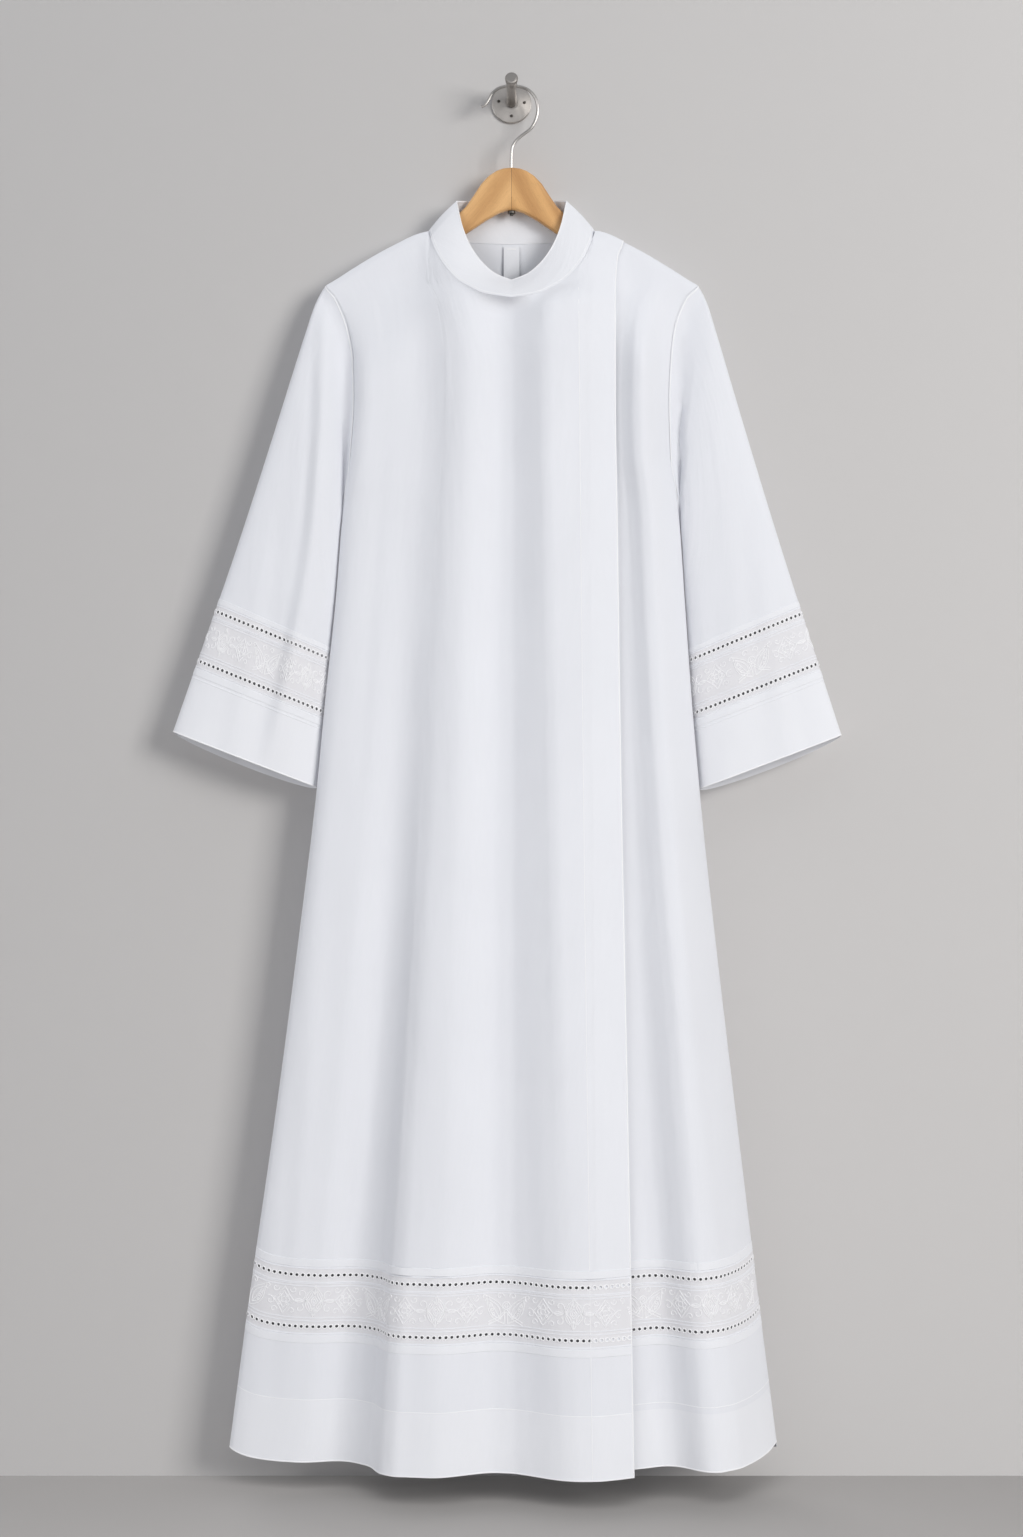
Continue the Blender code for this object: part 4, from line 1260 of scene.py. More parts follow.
def motif_lines():
    """All lines of one pitch of the embroidery: place along, place up, in millimetres."""
    medallion = leaf((2.0, -17.5), 57, 38, 9.5)[:1] + leaf((6.0, -12.5), 57, 27, 6.0)
    medallion += [arc_line((17.5 - 1.6 * k, 3.5 - 5.0 * k), 1.7, 0, 360, steps=8)
                  for k in range(3)]
    medallion += [np.array(((0, -4 + up), (8, -13 + up), (20, -18.5 + up))) for up in (0, 3.2)]
    medallion += [arc_line((7.5, 13.5), 4.6, 180, -170, 1.0, 16),
                  arc_line((29.5, -3.0), 5.6, 120, -230, 1.3, 18),
                  arc_line((26.0, 13.0), 4.2, 250, -70, 1.0, 14)]
    lines = [arc_line((0, 3.0), radius, 0, 360, steps=14) for radius in (2.2, 4.4)]
    side = [lozenge((46, 0), 12.5, 15.5, 0.06), lozenge((46, 0), 8.0, 10.0, 0.08),
            arc_line((46, 0), 3.2, 0, 360, steps=12)]
    for angle in (45, 135, 225, 315):
        root = (46 + 4 * math.cos(math.radians(angle)), 4 * math.sin(math.radians(angle)))
        side += leaf(root, angle, 5.0, 1.5)[:1]
    for u, way in ((37, 1), (55, -1)):
        side += [arc_line((u - 2 * way, v * 12.5), 4.4, 90 - 90 * way, 90 - 90 * way - way * v
                          * 330, 1.1, 16) for v in (1, -1)]
    sprig = [arc_line((66.5, 7.5), 6.2, -60, 250, 1.4, 18),
             arc_line((66.0, -8.5), 5.4, 60, -250, 1.2, 16),
             *leaf((72.5, -1.0), 62, 17, 3.2), *leaf((72.5, 1.0), -62, 17, 3.2),
             *leaf((59.0, 0), 0, 12, 2.4)]
    lines += mirrored(medallion + side + sprig)
    return lines + [lozenge((82.5, 0), 4.2, 6.0), lozenge((82.5, 0), 2.0, 3.0),
                    *leaf(np.array((82.5, 7.5)), 90, 10.5, 2.6),
                    *leaf(np.array((82.5, -7.5)), 270, 10.5, 2.6)]


def resampled(line, step):
    """A line's points, evenly spaced."""
    run = line_run(line)
    even = np.linspace(0, run[-1], max(2, int(round(run[-1] / step)) + 1))
    return np.stack([np.interp(even, run, line[:, 0]), np.interp(even, run, line[:, 1])], 1)


STITCH_LENGTH = 2.2
MOTIF = [resampled(line, STITCH_LENGTH) for line in motif_lines()]
print(len(MOTIF), "lines in a motif,", sum(len(line) for line in MOTIF), "stitches")

# %% [markdown]
# The drawing is laid round the skirt and each sleeve, one motif beside the next, and every
# line becomes a slim ridge of thread.

# %% Embroidered bands
THREAD_RIDGE = (1.15, 0.62)
BODY_BAND_MIDDLE = 185.5
SLEEVE_MOTIF_SCALE = (0.80, 0.92)
MEDALLION_AT = {"upper_front": -6.0, "under_front": 150.0, "back": 0.0}
BAND_PLACES = 801
PLACE_STEP = 0.0005


def band_threads(surface, fine, middle, first, scale, sign, step):
    """Ridges of all motifs along a band, with a medallion at the run first."""
    run = line_run(surface(fine, np.full(len(fine), middle)))
    pitch = MOTIF_PITCH * scale[0]
    parts = []
    for number in range(math.floor(-first / pitch) - 1,
                        math.ceil((run[-1] - first) / pitch) + 1):
        for line in MOTIF:
            along = first + number * pitch + line[:, 0] * scale[0]
            if along.min() < 1 or along.max() > run[-1] - 1:
                continue
            points, normals = with_normals(surface, np.interp(along, run, fine),
                                           middle + line[:, 1] * scale[1], step, sign)
            parts.append(ridge_parts(points, normals, *THREAD_RIDGE))
    return parts


for panel_name, panel in PANELS.items():
    fine = np.linspace(0, 1, BAND_PLACES)
    row = on_panel(panel, fine, np.full(BAND_PLACES, BODY_BAND_MIDDLE))
    first = float(np.interp(MEDALLION_AT[panel_name], row[:, 0], line_run(row)))
    parts = band_threads(lambda place, up: on_panel(panel, place, up), fine,
                         BODY_BAND_MIDDLE, first, (1, 1), panel["turned"], PLACE_STEP)
    body[panel_name]["threads"] = join_parts(f"{panel_name}_embroidery", parts)
    print(panel_name, len(parts), "threads")
for side, name in SLEEVE_NAMES.items():
    fine = np.linspace(0, 2 * np.pi, BAND_PLACES)
    row = on_sleeve(side, fine, np.full(BAND_PLACES, SLEEVE_BAND_MIDDLE))
    length = line_run(row)[-1]
    count = round(length / (MOTIF_PITCH * SLEEVE_MOTIF_SCALE[0]))
    scale = (length / count / MOTIF_PITCH, SLEEVE_MOTIF_SCALE[1])
    parts = band_threads(lambda turn, up: on_sleeve(side, turn, up), fine,
                         SLEEVE_BAND_MIDDLE, length / 4, scale, sleeves[side]["turned"],
                         TURN_STEP)
    sleeves[side]["threads"] = join_parts(f"{name}_embroidery", parts)
    print(name, len(parts), "threads")

# %% [markdown]
# ## Edges, facing and stitches
# The free edge of the upper front is faced: a strip of the same cloth lies inside it, sewn
# down with one straight row. That is why the holes near the edge look pale. The hems are
# turned up double with a row of stitches, and every edge ends in a narrow bright fold.

# %% Lines down a panel
FACING_LINE = columns("height x", (-1592, 91), (-1000, 84), (-560, 80), (-180, 77))
FACING_DEEPER = 0.1
FACING_WALL = 0.5
FACING_INSET = 1.2
LACE_ROWS = 9
FACING_LINES = 7
FACING_FIRST_ROW, STITCHES_FIRST_ROW = 4, 10


def panel_rows(panel_name):
    """All rows of a panel, from the shoulder to the hem, with their normals."""
    made, panel = body[panel_name], PANELS[panel_name]
    lace = panel_point_grid(panel, made["places"],
                            np.linspace(LACE_TOP, LACE_FOOT, LACE_ROWS)[1:-1])
    grids = (made["main"], lace, made["band"])
    levels = (made["main_normals"], panel_normals(panel, lace), made["band_normals"])
    return np.concatenate(grids), np.concatenate(levels)


def line_down(rows, levels, wanted_x, first=0):
    """The point of each row that lies at a wanted distance from the middle."""
    points, normals = [], []
    for row, level in zip(rows[first:], levels[first:]):
        x = wanted_x(row)
        points.append([np.interp(x, row[:, 0], row[:, k]) for k in range(3)])
        normals.append([np.interp(x, row[:, 0], level[:, k]) for k in range(3)])
    return np.array(points), unit(np.array(normals))


def facing_x(row):
    """Distance from the middle of the facing's stitch row."""
    return float(curve(FACING_LINE, "x", row[:, 2].mean()))


rows, levels = panel_rows("upper_front")
inner_lines = [line_down(rows, levels, lambda row: facing_x(row) + share
                         * (row[:, 0].max() - FACING_INSET - facing_x(row)), FACING_FIRST_ROW)
               for share in np.linspace(0, 1, FACING_LINES)]
facing_grid, facing_normals = np.array(inner_lines).transpose(1, 2, 0, 3)
facing_grid = facing_grid - facing_normals * (CLOTH + FACING_DEEPER)
facing_piece = join_parts("front_facing", [shell_parts(facing_grid, facing_normals,
                                                       wall=FACING_WALL)])
print(facing_piece.name, round(cloth_area(facing_grid), 4), "m2")

# %% Turned edges and rows of stitches
EDGE_FOLD = (1.7, 0.42)
STITCH_ROW = (0.8, 0.3)
SEAM_ROW = (1.6, 0.4)
EDGE_INSET = 0.9
free_edge = line_down(rows, levels, lambda row: row[:, 0].max() - EDGE_INSET)
facing_stitches = line_down(rows, levels, facing_x, STITCHES_FIRST_ROW)
for panel_name, panel in PANELS.items():
    lines = [free_edge, facing_stitches] * (panel_name == "upper_front")
    lines += panel_lines(panel, (EDGE_INSET, HEM_FOLD))
    body[panel_name]["edges"] = join_parts(f"{panel_name}_edges", [
        ridge_parts(*line, *(STITCH_ROW if number % 2 else EDGE_FOLD))
        for number, line in enumerate(lines)])
for side, name in SLEEVE_NAMES.items():
    upper = sleeves[side]["upper"]
    parts = [ridge_parts(upper[1], outward(upper)[0][1], *SEAM_ROW, closed=True),
             ridge_parts(*sleeve_lines(side, (EDGE_INSET,))[0], *EDGE_FOLD, closed=True)]
    sleeves[side]["edges"] = join_parts(f"{name}_edges", parts)
collar_edges = join_parts("collar_edges", [
    ridge_parts(collar[-1], collar_normals[-1], *EDGE_FOLD, closed=True),
    ridge_parts(collar[1], collar_normals[1], *STITCH_ROW, closed=True)])
print("edges on", len(body), "panels,", len(sleeves), "sleeves and the collar")

# %% [markdown]
# The little tape inside the back is sewn on with a bar tack at each end: a few stitches laid
# over one another. It lies where the solid tape does, so only the tacks are added.

# %% Bar tacks
# The solid cloth's wall, the gap to the tape, and the tape's own wall.
TAPE_FRONT = 1.5 + 0.45 + 1.0
TACK_HEIGHTS = (-177.0, -214.5)
TACK = (2.0, 0.5)
TACK_POINTS = np.linspace(-5.5, 5.5, 8)
tacks = []
for height in TACK_HEIGHTS:
    level = np.full(len(TACK_POINTS), height)
    share = TACK_POINTS / half_width(TACK_POINTS, level)
    spot = panel_surface(PANELS["back"], TACK_POINTS / TIP_HALF, share, level)
    tacks.append(ridge_parts(spot - (0, TAPE_FRONT, 0),
                             np.tile((0.0, -1.0, 0.0), (len(level), 1)), *TACK))
tape_tacks = join_parts("tape_bar_tacks", tacks)
print(tape_tacks.name, len(tacks))

# %% [markdown]
# ## Shared effects
# Weave and unevenness are on every cloth of the garment, each at its own scale. Each effect is
# built once as a node group that puts out a height or a mask, and every material gives it its
# own values.

# %% Node groups
WARP_STRETCH, WEFT_STRETCH = (900, 25, 1), (25, 900, 1)
WEAVE_RELIEF = 0.25
PUCKER_STRETCH = (1, 0.35, 1)
TONE_PATCHES = 0.25


def fill(tree, node, inputs):
    """Sets numbers on a node's inputs and links sockets to them."""
    for label, value in inputs.items():
        if isinstance(value, bpy.types.NodeSocket):
            tree.links.new(value, node.inputs[label])
        else:
            node.inputs[label].default_value = value
    return node


def add_node(tree, kind, inputs=None, **settings):
    """A shader node with its settings made and its inputs filled."""
    node = tree.nodes.new("ShaderNode" + kind)
    for name, value in settings.items():
        setattr(node, name, value)
    return fill(tree, node, inputs or {})


def new_group(name, inputs, outputs):
    """An empty shader node group. An input without a value is a vector."""
    group = bpy.data.node_groups.new(name, "ShaderNodeTree")
    for label, value in inputs.items():
        kind = "NodeSocketVector" if value is None else "NodeSocketFloat"
        socket = group.interface.new_socket(label, in_out="INPUT", socket_type=kind)
        if value is not None:
            socket.default_value = value
    for label in outputs:
        group.interface.new_socket(label, in_out="OUTPUT", socket_type="NodeSocketFloat")
    given = group.nodes.new("NodeGroupInput").outputs
    return group, given, group.nodes.new("NodeGroupOutput")


def math_node(tree, operation, *values):
    """The result of a math node."""
    return add_node(tree, "Math", dict(enumerate(values)), operation=operation).outputs[0]


def noise_node(tree, vector, scale, detail=2.0, roughness=0.5):
    """A noise texture's value."""
    return add_node(tree, "TexNoise", {"Vector": vector, "Scale": scale, "Detail": detail,
                                       "Roughness": roughness}).outputs["Fac"]


def stretched(tree, vector, scale):
    """A vector with each axis multiplied."""
    return add_node(tree, "VectorMath", {0: vector, 1: scale}, operation="MULTIPLY").outputs[0]


def make_weave_group():
    """Plain weave: threads over and under each other, some thicker than others."""
    group, given, made = new_group("plain_weave", {"Place": None, "Pitch": 0.0005, "Slub": 0.5},
                                   ("Height", "Thread"))
    split = add_node(group, "SeparateXYZ", {0: given["Place"]})
    turns = math_node(group, "DIVIDE", math.pi, given["Pitch"])
    over = math_node(group, "MULTIPLY", *[
        math_node(group, "SINE", math_node(group, "MULTIPLY", split.outputs[axis], turns))
        for axis in (0, 1)])
    slubs = math_node(group, "ADD", *[
        noise_node(group, stretched(group, given["Place"], stretch), 1.0)
        for stretch in (WARP_STRETCH, WEFT_STRETCH)])
    slub = math_node(group, "MULTIPLY", slubs, given["Slub"])
    fill(group, made, {"Height": math_node(group, "MULTIPLY_ADD", over, WEAVE_RELIEF, slub),
                       "Thread": math_node(group, "MULTIPLY_ADD", over, 0.5, 0.5)})
    return group


def make_uneven_group():
    """Slow unevenness of handled cloth: a height for soft puckers and a mask for tone."""
    group, given, made = new_group("uneven", {"Place": None, "Size": 0.04}, ("Height", "Mask"))
    scale = math_node(group, "DIVIDE", 1.0, given["Size"])
    puckers = stretched(group, given["Place"], PUCKER_STRETCH)
    patches = math_node(group, "MULTIPLY", scale, TONE_PATCHES)
    fill(group, made, {"Height": noise_node(group, puckers, scale, 3.0, 0.45),
                       "Mask": noise_node(group, given["Place"], patches)})
    return group


weave_group = make_weave_group()
uneven_group = make_uneven_group()
print("node groups:", [g.name for g in bpy.data.node_groups])

# %% [markdown]
# ## Cloth materials
# White cotton is matt, with a faint sheen at grazing angles. Its weave is finer than a pixel
# here, so it mostly softens the light, and the eye reads the slower unevenness instead.

# %% White cottons
PUCKER_SIZE = 0.035
THREAD_TONE, PATCH_TONE = 0.3, 0.7
FINE_WEAVE = (0.0005, 0.5)


def new_material(name):
    """A material, the tree to build in and its shader."""
    material = bpy.data.materials.new(name)
    material.use_nodes = True
    return material, material.node_tree, material.node_tree.nodes["Principled BSDF"]


def mixed_colour(tree, factor, low, high):
    """A colour between two, by a mask. Each is three numbers or another node's colour."""
    low, high = [colour if isinstance(colour, bpy.types.NodeSocket) else (*colour, 1)
                 for colour in (low, high)]
    return add_node(tree, "Mix", {"Factor": factor, "A": low, "B": high},
                    data_type="RGBA").outputs["Result"]


def bump(tree, height, strength, distance, **under):
    """A bumped normal, laid over another one if given as Normal."""
    return add_node(tree, "Bump", {"Height": height, "Strength": strength,
                                   "Distance": distance, **under}).outputs["Normal"]


def cotton(name, shade, light, pitch, slub, pucker, sheen=0.12, roughness=0.85):
    """A white cotton from the shared weave and unevenness."""
    material, tree, shader = new_material(name)
    place = add_node(tree, "UVMap", uv_map="cloth").outputs[0]
    weave = add_node(tree, "Group", {"Place": place, "Pitch": pitch, "Slub": slub},
                     node_tree=weave_group).outputs
    uneven = add_node(tree, "Group", {"Place": place, "Size": PUCKER_SIZE},
                      node_tree=uneven_group).outputs
    patches = math_node(tree, "MULTIPLY", uneven["Mask"], PATCH_TONE)
    tone = math_node(tree, "MULTIPLY_ADD", weave["Thread"], THREAD_TONE, patches)
    soft = bump(tree, uneven["Height"], 1.0, pucker)
    fill(tree, shader, {
        "Base Color": mixed_colour(tree, tone, shade, light), "Roughness": roughness,
        "Sheen Weight": sheen, "Sheen Roughness": 0.5, "Specular IOR Level": 0.25,
        "Normal": bump(tree, weave["Height"], 0.5, 0.0002, Normal=soft)})
    return material


poplin = cotton("white_poplin", (0.735, 0.745, 0.785), (0.80, 0.81, 0.85), *FINE_WEAVE, 0.0012)
doubled = cotton("white_poplin_doubled", (0.765, 0.773, 0.808), (0.828, 0.836, 0.87),
                 *FINE_WEAVE, 0.0010)
faced = cotton("white_poplin_faced", (0.745, 0.755, 0.793), (0.81, 0.82, 0.858),
               *FINE_WEAVE, 0.0012)
ground = cotton("lace_ground", (0.70, 0.695, 0.72), (0.775, 0.77, 0.795), 0.0011, 0.4, 0.0004)
thread = cotton("embroidery_thread", (0.86, 0.86, 0.875), (0.90, 0.90, 0.915),
                0.0006, 0.3, 0.0002, sheen=0.25, roughness=0.6)
print("cottons:", [cloth.name for cloth in (poplin, doubled, faced, ground, thread)])

# %% Dressing the cloth


def dress(piece, slot, *materials):
    """Gives a piece its materials and its body. The slot is not used."""
    for material in materials:
        piece.data.materials.append(material)
    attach(piece, "root")
    return piece


def show_doubled(piece, is_doubled):
    """Gives a piece's second material to the faces where its cloth is double."""
    centres = np.zeros(len(piece.data.polygons) * 3)
    piece.data.polygons.foreach_get("center", centres)
    chosen = is_doubled(centres.reshape(-1, 3) / MM).astype(np.int32)
    piece.data.polygons.foreach_set("material_index", chosen)


def doubled_hem(centres):
    """Faces below the row of stitches that holds the hem's fold."""
    x = centres[:, 0]
    share = x / half_width(x, np.full(len(x), HEM_HEIGHT))
    return centres[:, 2] < hem_of(share, 0.0) + HEM_FOLD


def faced_front(centres):
    """Faces in front of the facing."""
    return centres[:, 0] > curve(FACING_LINE, "x", centres[:, 2])


def dress_layers(made, node, *layers):
    """Dresses each layer of a panel or sleeve and puts it in the place of its solid."""
    for part, solid, slot, materials in layers:
        dress(made[part + "_piece"], slot, *materials)
        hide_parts(f"{node}_{solid}")


LACE_LAYER = ("lace", "lace", "lace", (ground, thread))
for panel_name, node in (("upper_front", "front_upper"), ("under_front", "front_under"),
                         ("back", "back")):
    dress_layers(body[panel_name], node, ("main", "main", "poplin", (poplin,)), LACE_LAYER,
                 ("band", "hem", "poplin", (poplin, doubled)))
    show_doubled(body[panel_name]["band_piece"], doubled_hem)
upper_cloth = body["upper_front"]["main_piece"]
upper_cloth.data.materials.append(faced)
show_doubled(upper_cloth, faced_front)
for side, name in SLEEVE_NAMES.items():
    dress_layers(sleeves[side], "sleeve_" + name.split("_")[0],
                 ("upper", "upper", "poplin", (poplin,)), LACE_LAYER,
                 ("cuff", "cuff", "poplin", (doubled,)))
for made in list(body.values()) + list(sleeves.values()):
    dress(made["tucks"], "poplin", doubled)
    dress(made["strips"], "poplin", doubled)
    dress(made["threads"], "lace", thread)
    dress(made["edges"], "poplin", thread)
dress(facing_piece, "poplin", poplin)
dress(collar_edges, "poplin", thread)
dress(tape_tacks, "poplin", thread)
dress(collar_piece, "poplin", doubled)
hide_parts("collar")

# %% [markdown]
# ## Wood and steel
# The hanger is lacquered beech: pale orange-brown, with fine dark pores along the grain. Its
# two halves come from different boards, so their grain runs and tones differ. The plate was
# turned on a lathe and shows rings; the wire was drawn and is smooth.

# %% Shared grain and wear
DRIFT_STRETCH = (5, 22, 22)
STREAK_STRETCH = (40, 900, 900)
PORE_STRETCH = (260, 3200, 3200)
GRAIN_SLANT = 0.6
GRAIN_DRIFT = 9.0
PORE_LEVEL = 0.66
SMUDGE_SCALE = 90.0


def make_grain_group():
    """Wood grain along X: growth bands and streaks as a tone, and pores as a mask."""
    group, given, made = new_group("wood_grain", {"Place": None, "Bands": 90.0},
                                   ("Tone", "Pores"))
    place = given["Place"]
    drift, streaks, pores = [
        noise_node(group, stretched(group, place, stretch), 1.0, detail, roughness)
        for stretch, detail, roughness in (
            (DRIFT_STRETCH, 2.0, 0.5), (STREAK_STRETCH, 3.0, 0.6), (PORE_STRETCH, 1.0, 0.5))]
    split = add_node(group, "SeparateXYZ", {0: place}).outputs
    across = math_node(group, "ADD", split[2],
                       math_node(group, "MULTIPLY", split[1], GRAIN_SLANT))
    phase = math_node(group, "MULTIPLY_ADD", drift, GRAIN_DRIFT,
                      math_node(group, "MULTIPLY", across, given["Bands"]))
    bands = math_node(group, "MULTIPLY_ADD", math_node(group, "SINE", phase), 0.5, 0.5)
    tone = math_node(group, "MULTIPLY_ADD", bands, 0.5,
                     math_node(group, "MULTIPLY", streaks, 0.5))
    fill(group, made, {"Tone": tone,
                       "Pores": math_node(group, "GREATER_THAN", pores, PORE_LEVEL)})
    return group


def make_wear_group():
    """Handling marks on metal: cloudy smudges and fine scratches."""
    group, given, made = new_group("metal_wear", {"Place": None, "Along": None},
                                   ("Smudge", "Scratch"))
    fill(group, made, {"Smudge": noise_node(group, given["Place"], SMUDGE_SCALE, 3.0),
                       "Scratch": noise_node(group, given["Along"], 1.0, 3.0, 0.65)})
    return group


grain_group = make_grain_group()
wear_group = make_wear_group()
print("groups:", grain_group.name, wear_group.name)

# %% Wood and steel
GRAIN_BANDS = 260.0
PORE_STRENGTH, PORE_SHADE = 0.22, 0.45
SCRATCH_TONE, SMUDGE_TONE = 0.7, 0.3
# The colour below is painted near black on the hook wire's lower end, as painted shade at the
# hanger's joint that also hides the wire's highlight there. The height after it lies below all
# steel, so no other part gets it.
PAINTED_SHADE_BLACK = (0.03, 0.027, 0.025)
NO_PAINTED_SHADE = -9.0


def object_place(tree, turn_degrees=0.0, shift=(0, 0, 0)):
    """Object coordinates, turned about Y and moved, so that grain runs along X."""
    return add_node(tree, "Mapping", {
        "Vector": add_node(tree, "TexCoord").outputs["Object"], "Location": shift,
        "Rotation": (0, math.radians(turn_degrees), 0)}).outputs[0]


def beech(name, turn_degrees, shift, dark, light):
    """Lacquered beech for one half of the hanger."""
    material, tree, shader = new_material(name)
    grain = add_node(tree, "Group", {"Place": object_place(tree, turn_degrees, shift),
                                     "Bands": GRAIN_BANDS}, node_tree=grain_group).outputs
    pores = math_node(tree, "MULTIPLY", grain["Pores"], PORE_STRENGTH)
    board = mixed_colour(tree, grain["Tone"], dark, light)
    fill(tree, shader, {
        "Base Color": mixed_colour(tree, pores, board, [v * PORE_SHADE for v in dark]),
        "Roughness": math_node(tree, "MULTIPLY_ADD", grain["Tone"], 0.12, 0.36),
        "Coat Weight": 0.35, "Coat Roughness": 0.28,
        "Normal": bump(tree, grain["Tone"], 0.25, 0.0003)})
    return material


def turned_steel(name, dark, light, roughness, ring_scale, metallic=0.92,
                 painted_shade_below=NO_PAINTED_SHADE):
    """Steel turned about the wall hook's axis: fine rings, smudges and a satin finish. Below a
    given height it is painted near black, as painted shade at the hanger's joint."""
    material, tree, shader = new_material(name)
    place = object_place(tree)
    x, y, z = add_node(tree, "SeparateXYZ", {0: place}).outputs
    radius = math_node(tree, "SQRT", math_node(tree, "ADD", *[
        math_node(tree, "MULTIPLY", axis, axis) for axis in (x, y)]))
    along = add_node(tree, "CombineXYZ", {
        number: math_node(tree, "MULTIPLY", axis, ring_scale)
        for number, axis in enumerate((radius, z))}).outputs[0]
    wear = add_node(tree, "Group", {"Place": place, "Along": along},
                    node_tree=wear_group).outputs
    tone = math_node(tree, "MULTIPLY_ADD", wear["Scratch"], SCRATCH_TONE,
                     math_node(tree, "MULTIPLY", wear["Smudge"], SMUDGE_TONE))
    # Painted shade: below the given height the steel is coloured near black.
    above_painted_shade = math_node(tree, "GREATER_THAN", z, painted_shade_below)
    fill(tree, shader, {
        "Base Color": mixed_colour(tree, above_painted_shade, PAINTED_SHADE_BLACK,
                                   mixed_colour(tree, tone, dark, light)),
        "Roughness": math_node(tree, "MULTIPLY_ADD", wear["Smudge"], 0.16, roughness - 0.08),
        "Metallic": metallic, "Anisotropic": 0.55,
        "Normal": bump(tree, wear["Scratch"], 0.35, 0.0002)})
    return material


def carried_over(node, material):
    """Gives a solid of the frame a better material."""
    solid = bpy.data.objects[node]
    for slot in solid.material_slots:
        slot.material = material
    if not solid.material_slots:
        solid.data.materials.append(material)


# Below this height the hook wire is painted near black, as painted shade at the hanger's joint.
WIRE_PAINTED_SHADE_BELOW = -0.118
carried_over("hanger_right", beech("beech_right", 52, (0.3, 0, 0.1), (0.50, 0.25, 0.085),
                                   (0.83, 0.50, 0.215)))
carried_over("hanger_left", beech("beech_left", -62, (0.9, 0, 0.4), (0.44, 0.21, 0.068),
                                  (0.79, 0.455, 0.18)))
for node, name, *finish in (
        ("wall_plate", "turned_plate", (0.27, 0.25, 0.235), (0.56, 0.53, 0.50), 0.36, 2600),
        ("wall_peg", "turned_peg", (0.24, 0.225, 0.21), (0.52, 0.49, 0.46), 0.33, 1500),
        ("hanger_hook", "drawn_wire", (0.36, 0.345, 0.33), (0.56, 0.54, 0.52), 0.42, 700,
         0.85, WIRE_PAINTED_SHADE_BELOW)):
    carried_over(node, turned_steel(name, *finish))
dark_steel = turned_steel("dark_steel", (0.05, 0.045, 0.04), (0.12, 0.11, 0.10), 0.42, 1800)
for node in ("hook_nut", "screw_1", "screw_2", "screw_3"):
    carried_over(node, dark_steel)
carried_over("neck_tape", doubled)
print("materials:", len(bpy.data.materials))

# %% [markdown]
# ## The openwork's grids
# The openwork's rows of each panel and sleeve are worked out once more here, and they
# are not used after.

# %% Openwork grids
SLEEVE_LACE_ROWS = 8


for panel_name, panel in PANELS.items():
    made = body[panel_name]
    lace_grid = panel_point_grid(panel, made["places"],
                                 np.linspace(LACE_TOP, LACE_FOOT, LACE_ROWS))
for side in SLEEVE_NAMES:
    made = sleeves[side]
    lace_grid = sleeve_grid(side, made["length"] - np.linspace(
        SLEEVE_LACE_TOP, SLEEVE_LACE_FOOT, SLEEVE_LACE_ROWS))

# %% [markdown]
# ## Stage and light
# The garment hangs on a plain pale wall over a plain floor. A large soft light stands to the
# upper right, as in the picture, and the sky gives the rest. A paler light from the left opens
# the garment's shadows, one over the floor evens it, and one behind the wall shows the back.
# The wall is clear from behind, so that the back can be seen.

# %% Wall, floor and light
FLOOR_HEIGHT = -1.633
WALL_BEHIND = 0.0006
WALL_TOP = 4
HALF_ROOM = 6
FLOOR_REACH = 8
MIDDLE = (0, 0, -0.8)
WHITE = (1, 1, 1)
# Each light: its place, its aim, its size, its power in watts, and its colour.
LIGHTS = {
    "window": ((3.2, -3.6, 0.55), (0, 0, -0.75), 1.9, 136, (1.0, 0.985, 0.96)),
    "left_fill": ((-2.4, -2.6, -0.2), MIDDLE, 2.2, 34, WHITE),
    "floor_fill": ((0, -1.5, -0.6), (0, -0.15, FLOOR_HEIGHT), 1.0, 36, WHITE),
    "rear_fill": ((-1.5, 2.5, 0.6), MIDDLE, 2.0, 40, WHITE),
}
SKY_COLOUR, SKY_STRENGTH = (0.92, 0.95, 1.0, 1), 0.53


def plain_material(name, colour, roughness):
    """A paint of one colour."""
    material, tree, shader = new_material(name)
    fill(tree, shader, {"Base Color": (*colour, 1), "Roughness": roughness})
    return material


def rectangle(half, low, high):
    """Four corners, as far to the left as to the right."""
    return (-half, low), (half, low), (half, high), (-half, high)


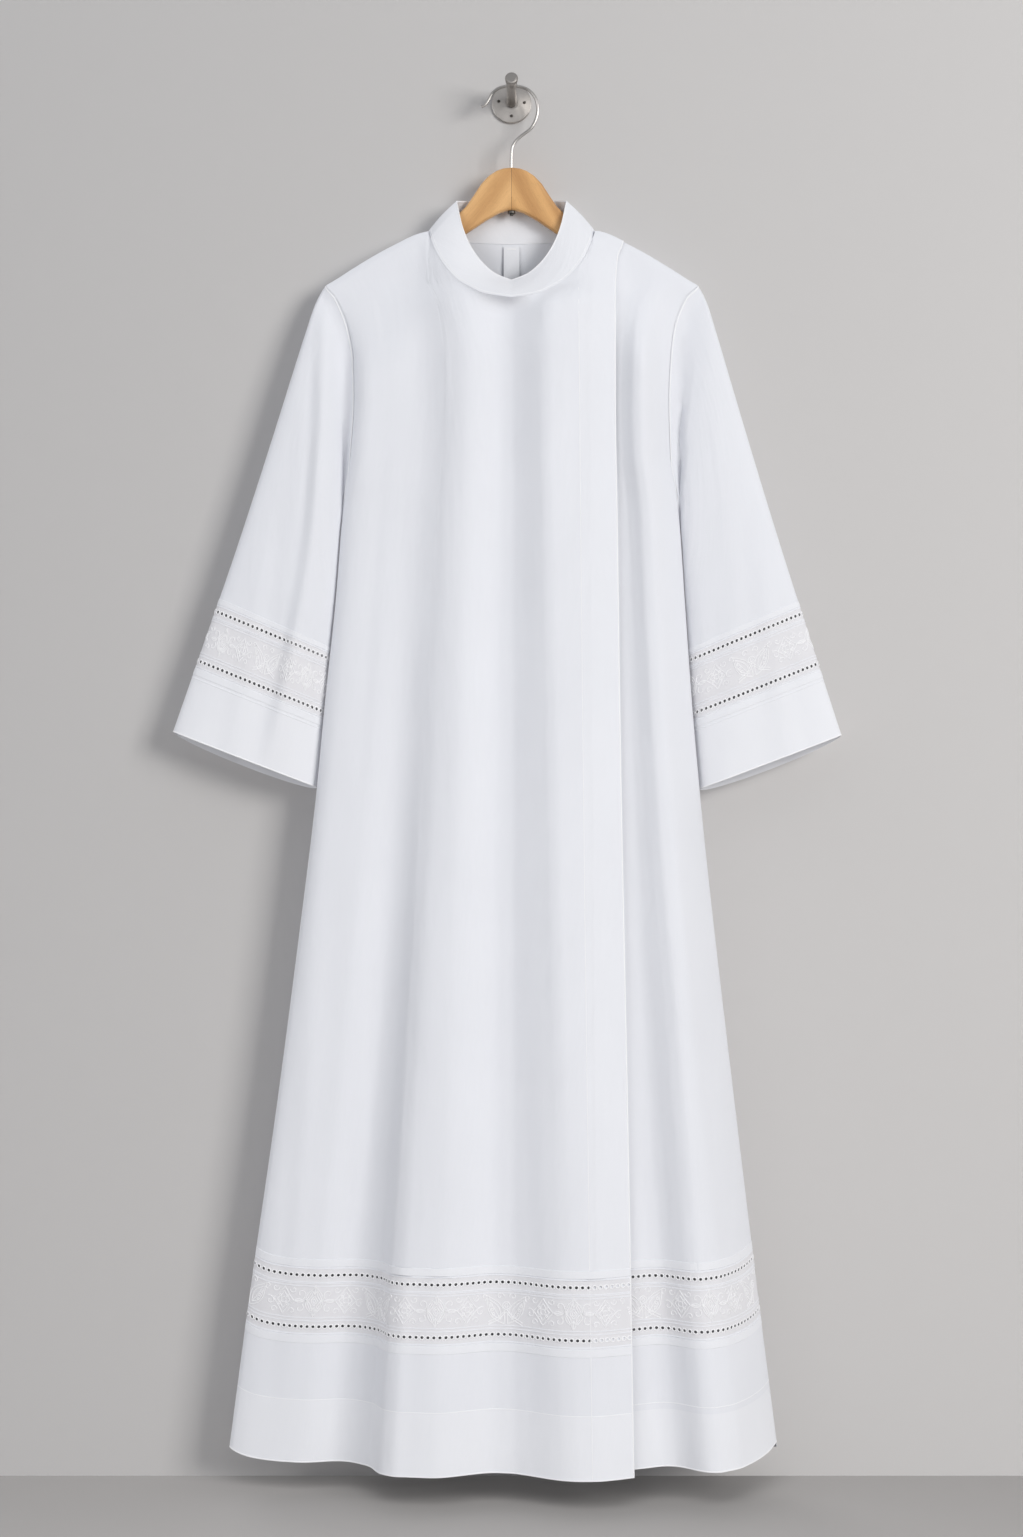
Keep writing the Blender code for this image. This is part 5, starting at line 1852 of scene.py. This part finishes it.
def stage_plane(name, corners, material):
    """A flat piece of the room, which isn't part of the object."""
    mesh = bpy.data.meshes.new(name)
    mesh.from_pydata(corners, [], [(0, 1, 2, 3)])
    plane = bpy.data.objects.new(name, mesh)
    mesh.materials.append(material)
    bpy.context.scene.collection.objects.link(plane)
    return plane


wall_paint = plain_material("wall_paint", (0.645, 0.63, 0.622), 0.9)
floor_paint = plain_material("floor_paint", (0.24, 0.231, 0.226), 0.8)
tree = wall_paint.node_tree
one_sided = add_node(tree, "MixShader", {
    0: add_node(tree, "NewGeometry").outputs["Backfacing"],
    1: tree.nodes["Principled BSDF"].outputs[0],
    2: add_node(tree, "BsdfTransparent").outputs[0]})
fill(tree, tree.nodes["Material Output"], {"Surface": one_sided.outputs[0]})
wall = stage_plane("wall", [
    (x, WALL_BEHIND, z) for x, z in rectangle(HALF_ROOM, FLOOR_HEIGHT, WALL_TOP)], wall_paint)
wall.visible_shadow = False
floor = stage_plane("floor", [
    (x, y, FLOOR_HEIGHT) for x, y in rectangle(HALF_ROOM, -FLOOR_REACH, FLOOR_REACH)],
    floor_paint)


def area_light(name, place, aim, size, power, colour):
    """A square soft light."""
    data = bpy.data.lights.new(name, "AREA")
    data.energy, data.size, data.color = power, size, colour
    light = bpy.data.objects.new(name, data)
    light.location = place
    light.rotation_mode = "QUATERNION"
    light.rotation_quaternion = (Vector(aim) - Vector(place)).to_track_quat("-Z", "Y")
    bpy.context.scene.collection.objects.link(light)
    return light


lights = {name: area_light(name, *measures) for name, measures in LIGHTS.items()}
garment = [o for o in bpy.data.objects if o.type == "MESH" and o not in (wall, floor)]
for light, lit_name, pieces in (("left_fill", "lit_by_fill", garment),
                                ("floor_fill", "lit_by_floor_fill", [floor])):
    lit = bpy.data.collections.new(lit_name)
    for piece in pieces:
        lit.objects.link(piece)
    lights[light].light_linking.receiver_collection = lit
world = bpy.data.worlds.new("soft_sky")
world.use_nodes = True
fill(world.node_tree, world.node_tree.nodes["Background"],
     {"Color": SKY_COLOUR, "Strength": SKY_STRENGTH})
bpy.context.scene.world = world
bpy.context.scene.view_settings.view_transform = "Standard"
print("lights:", list(lights))
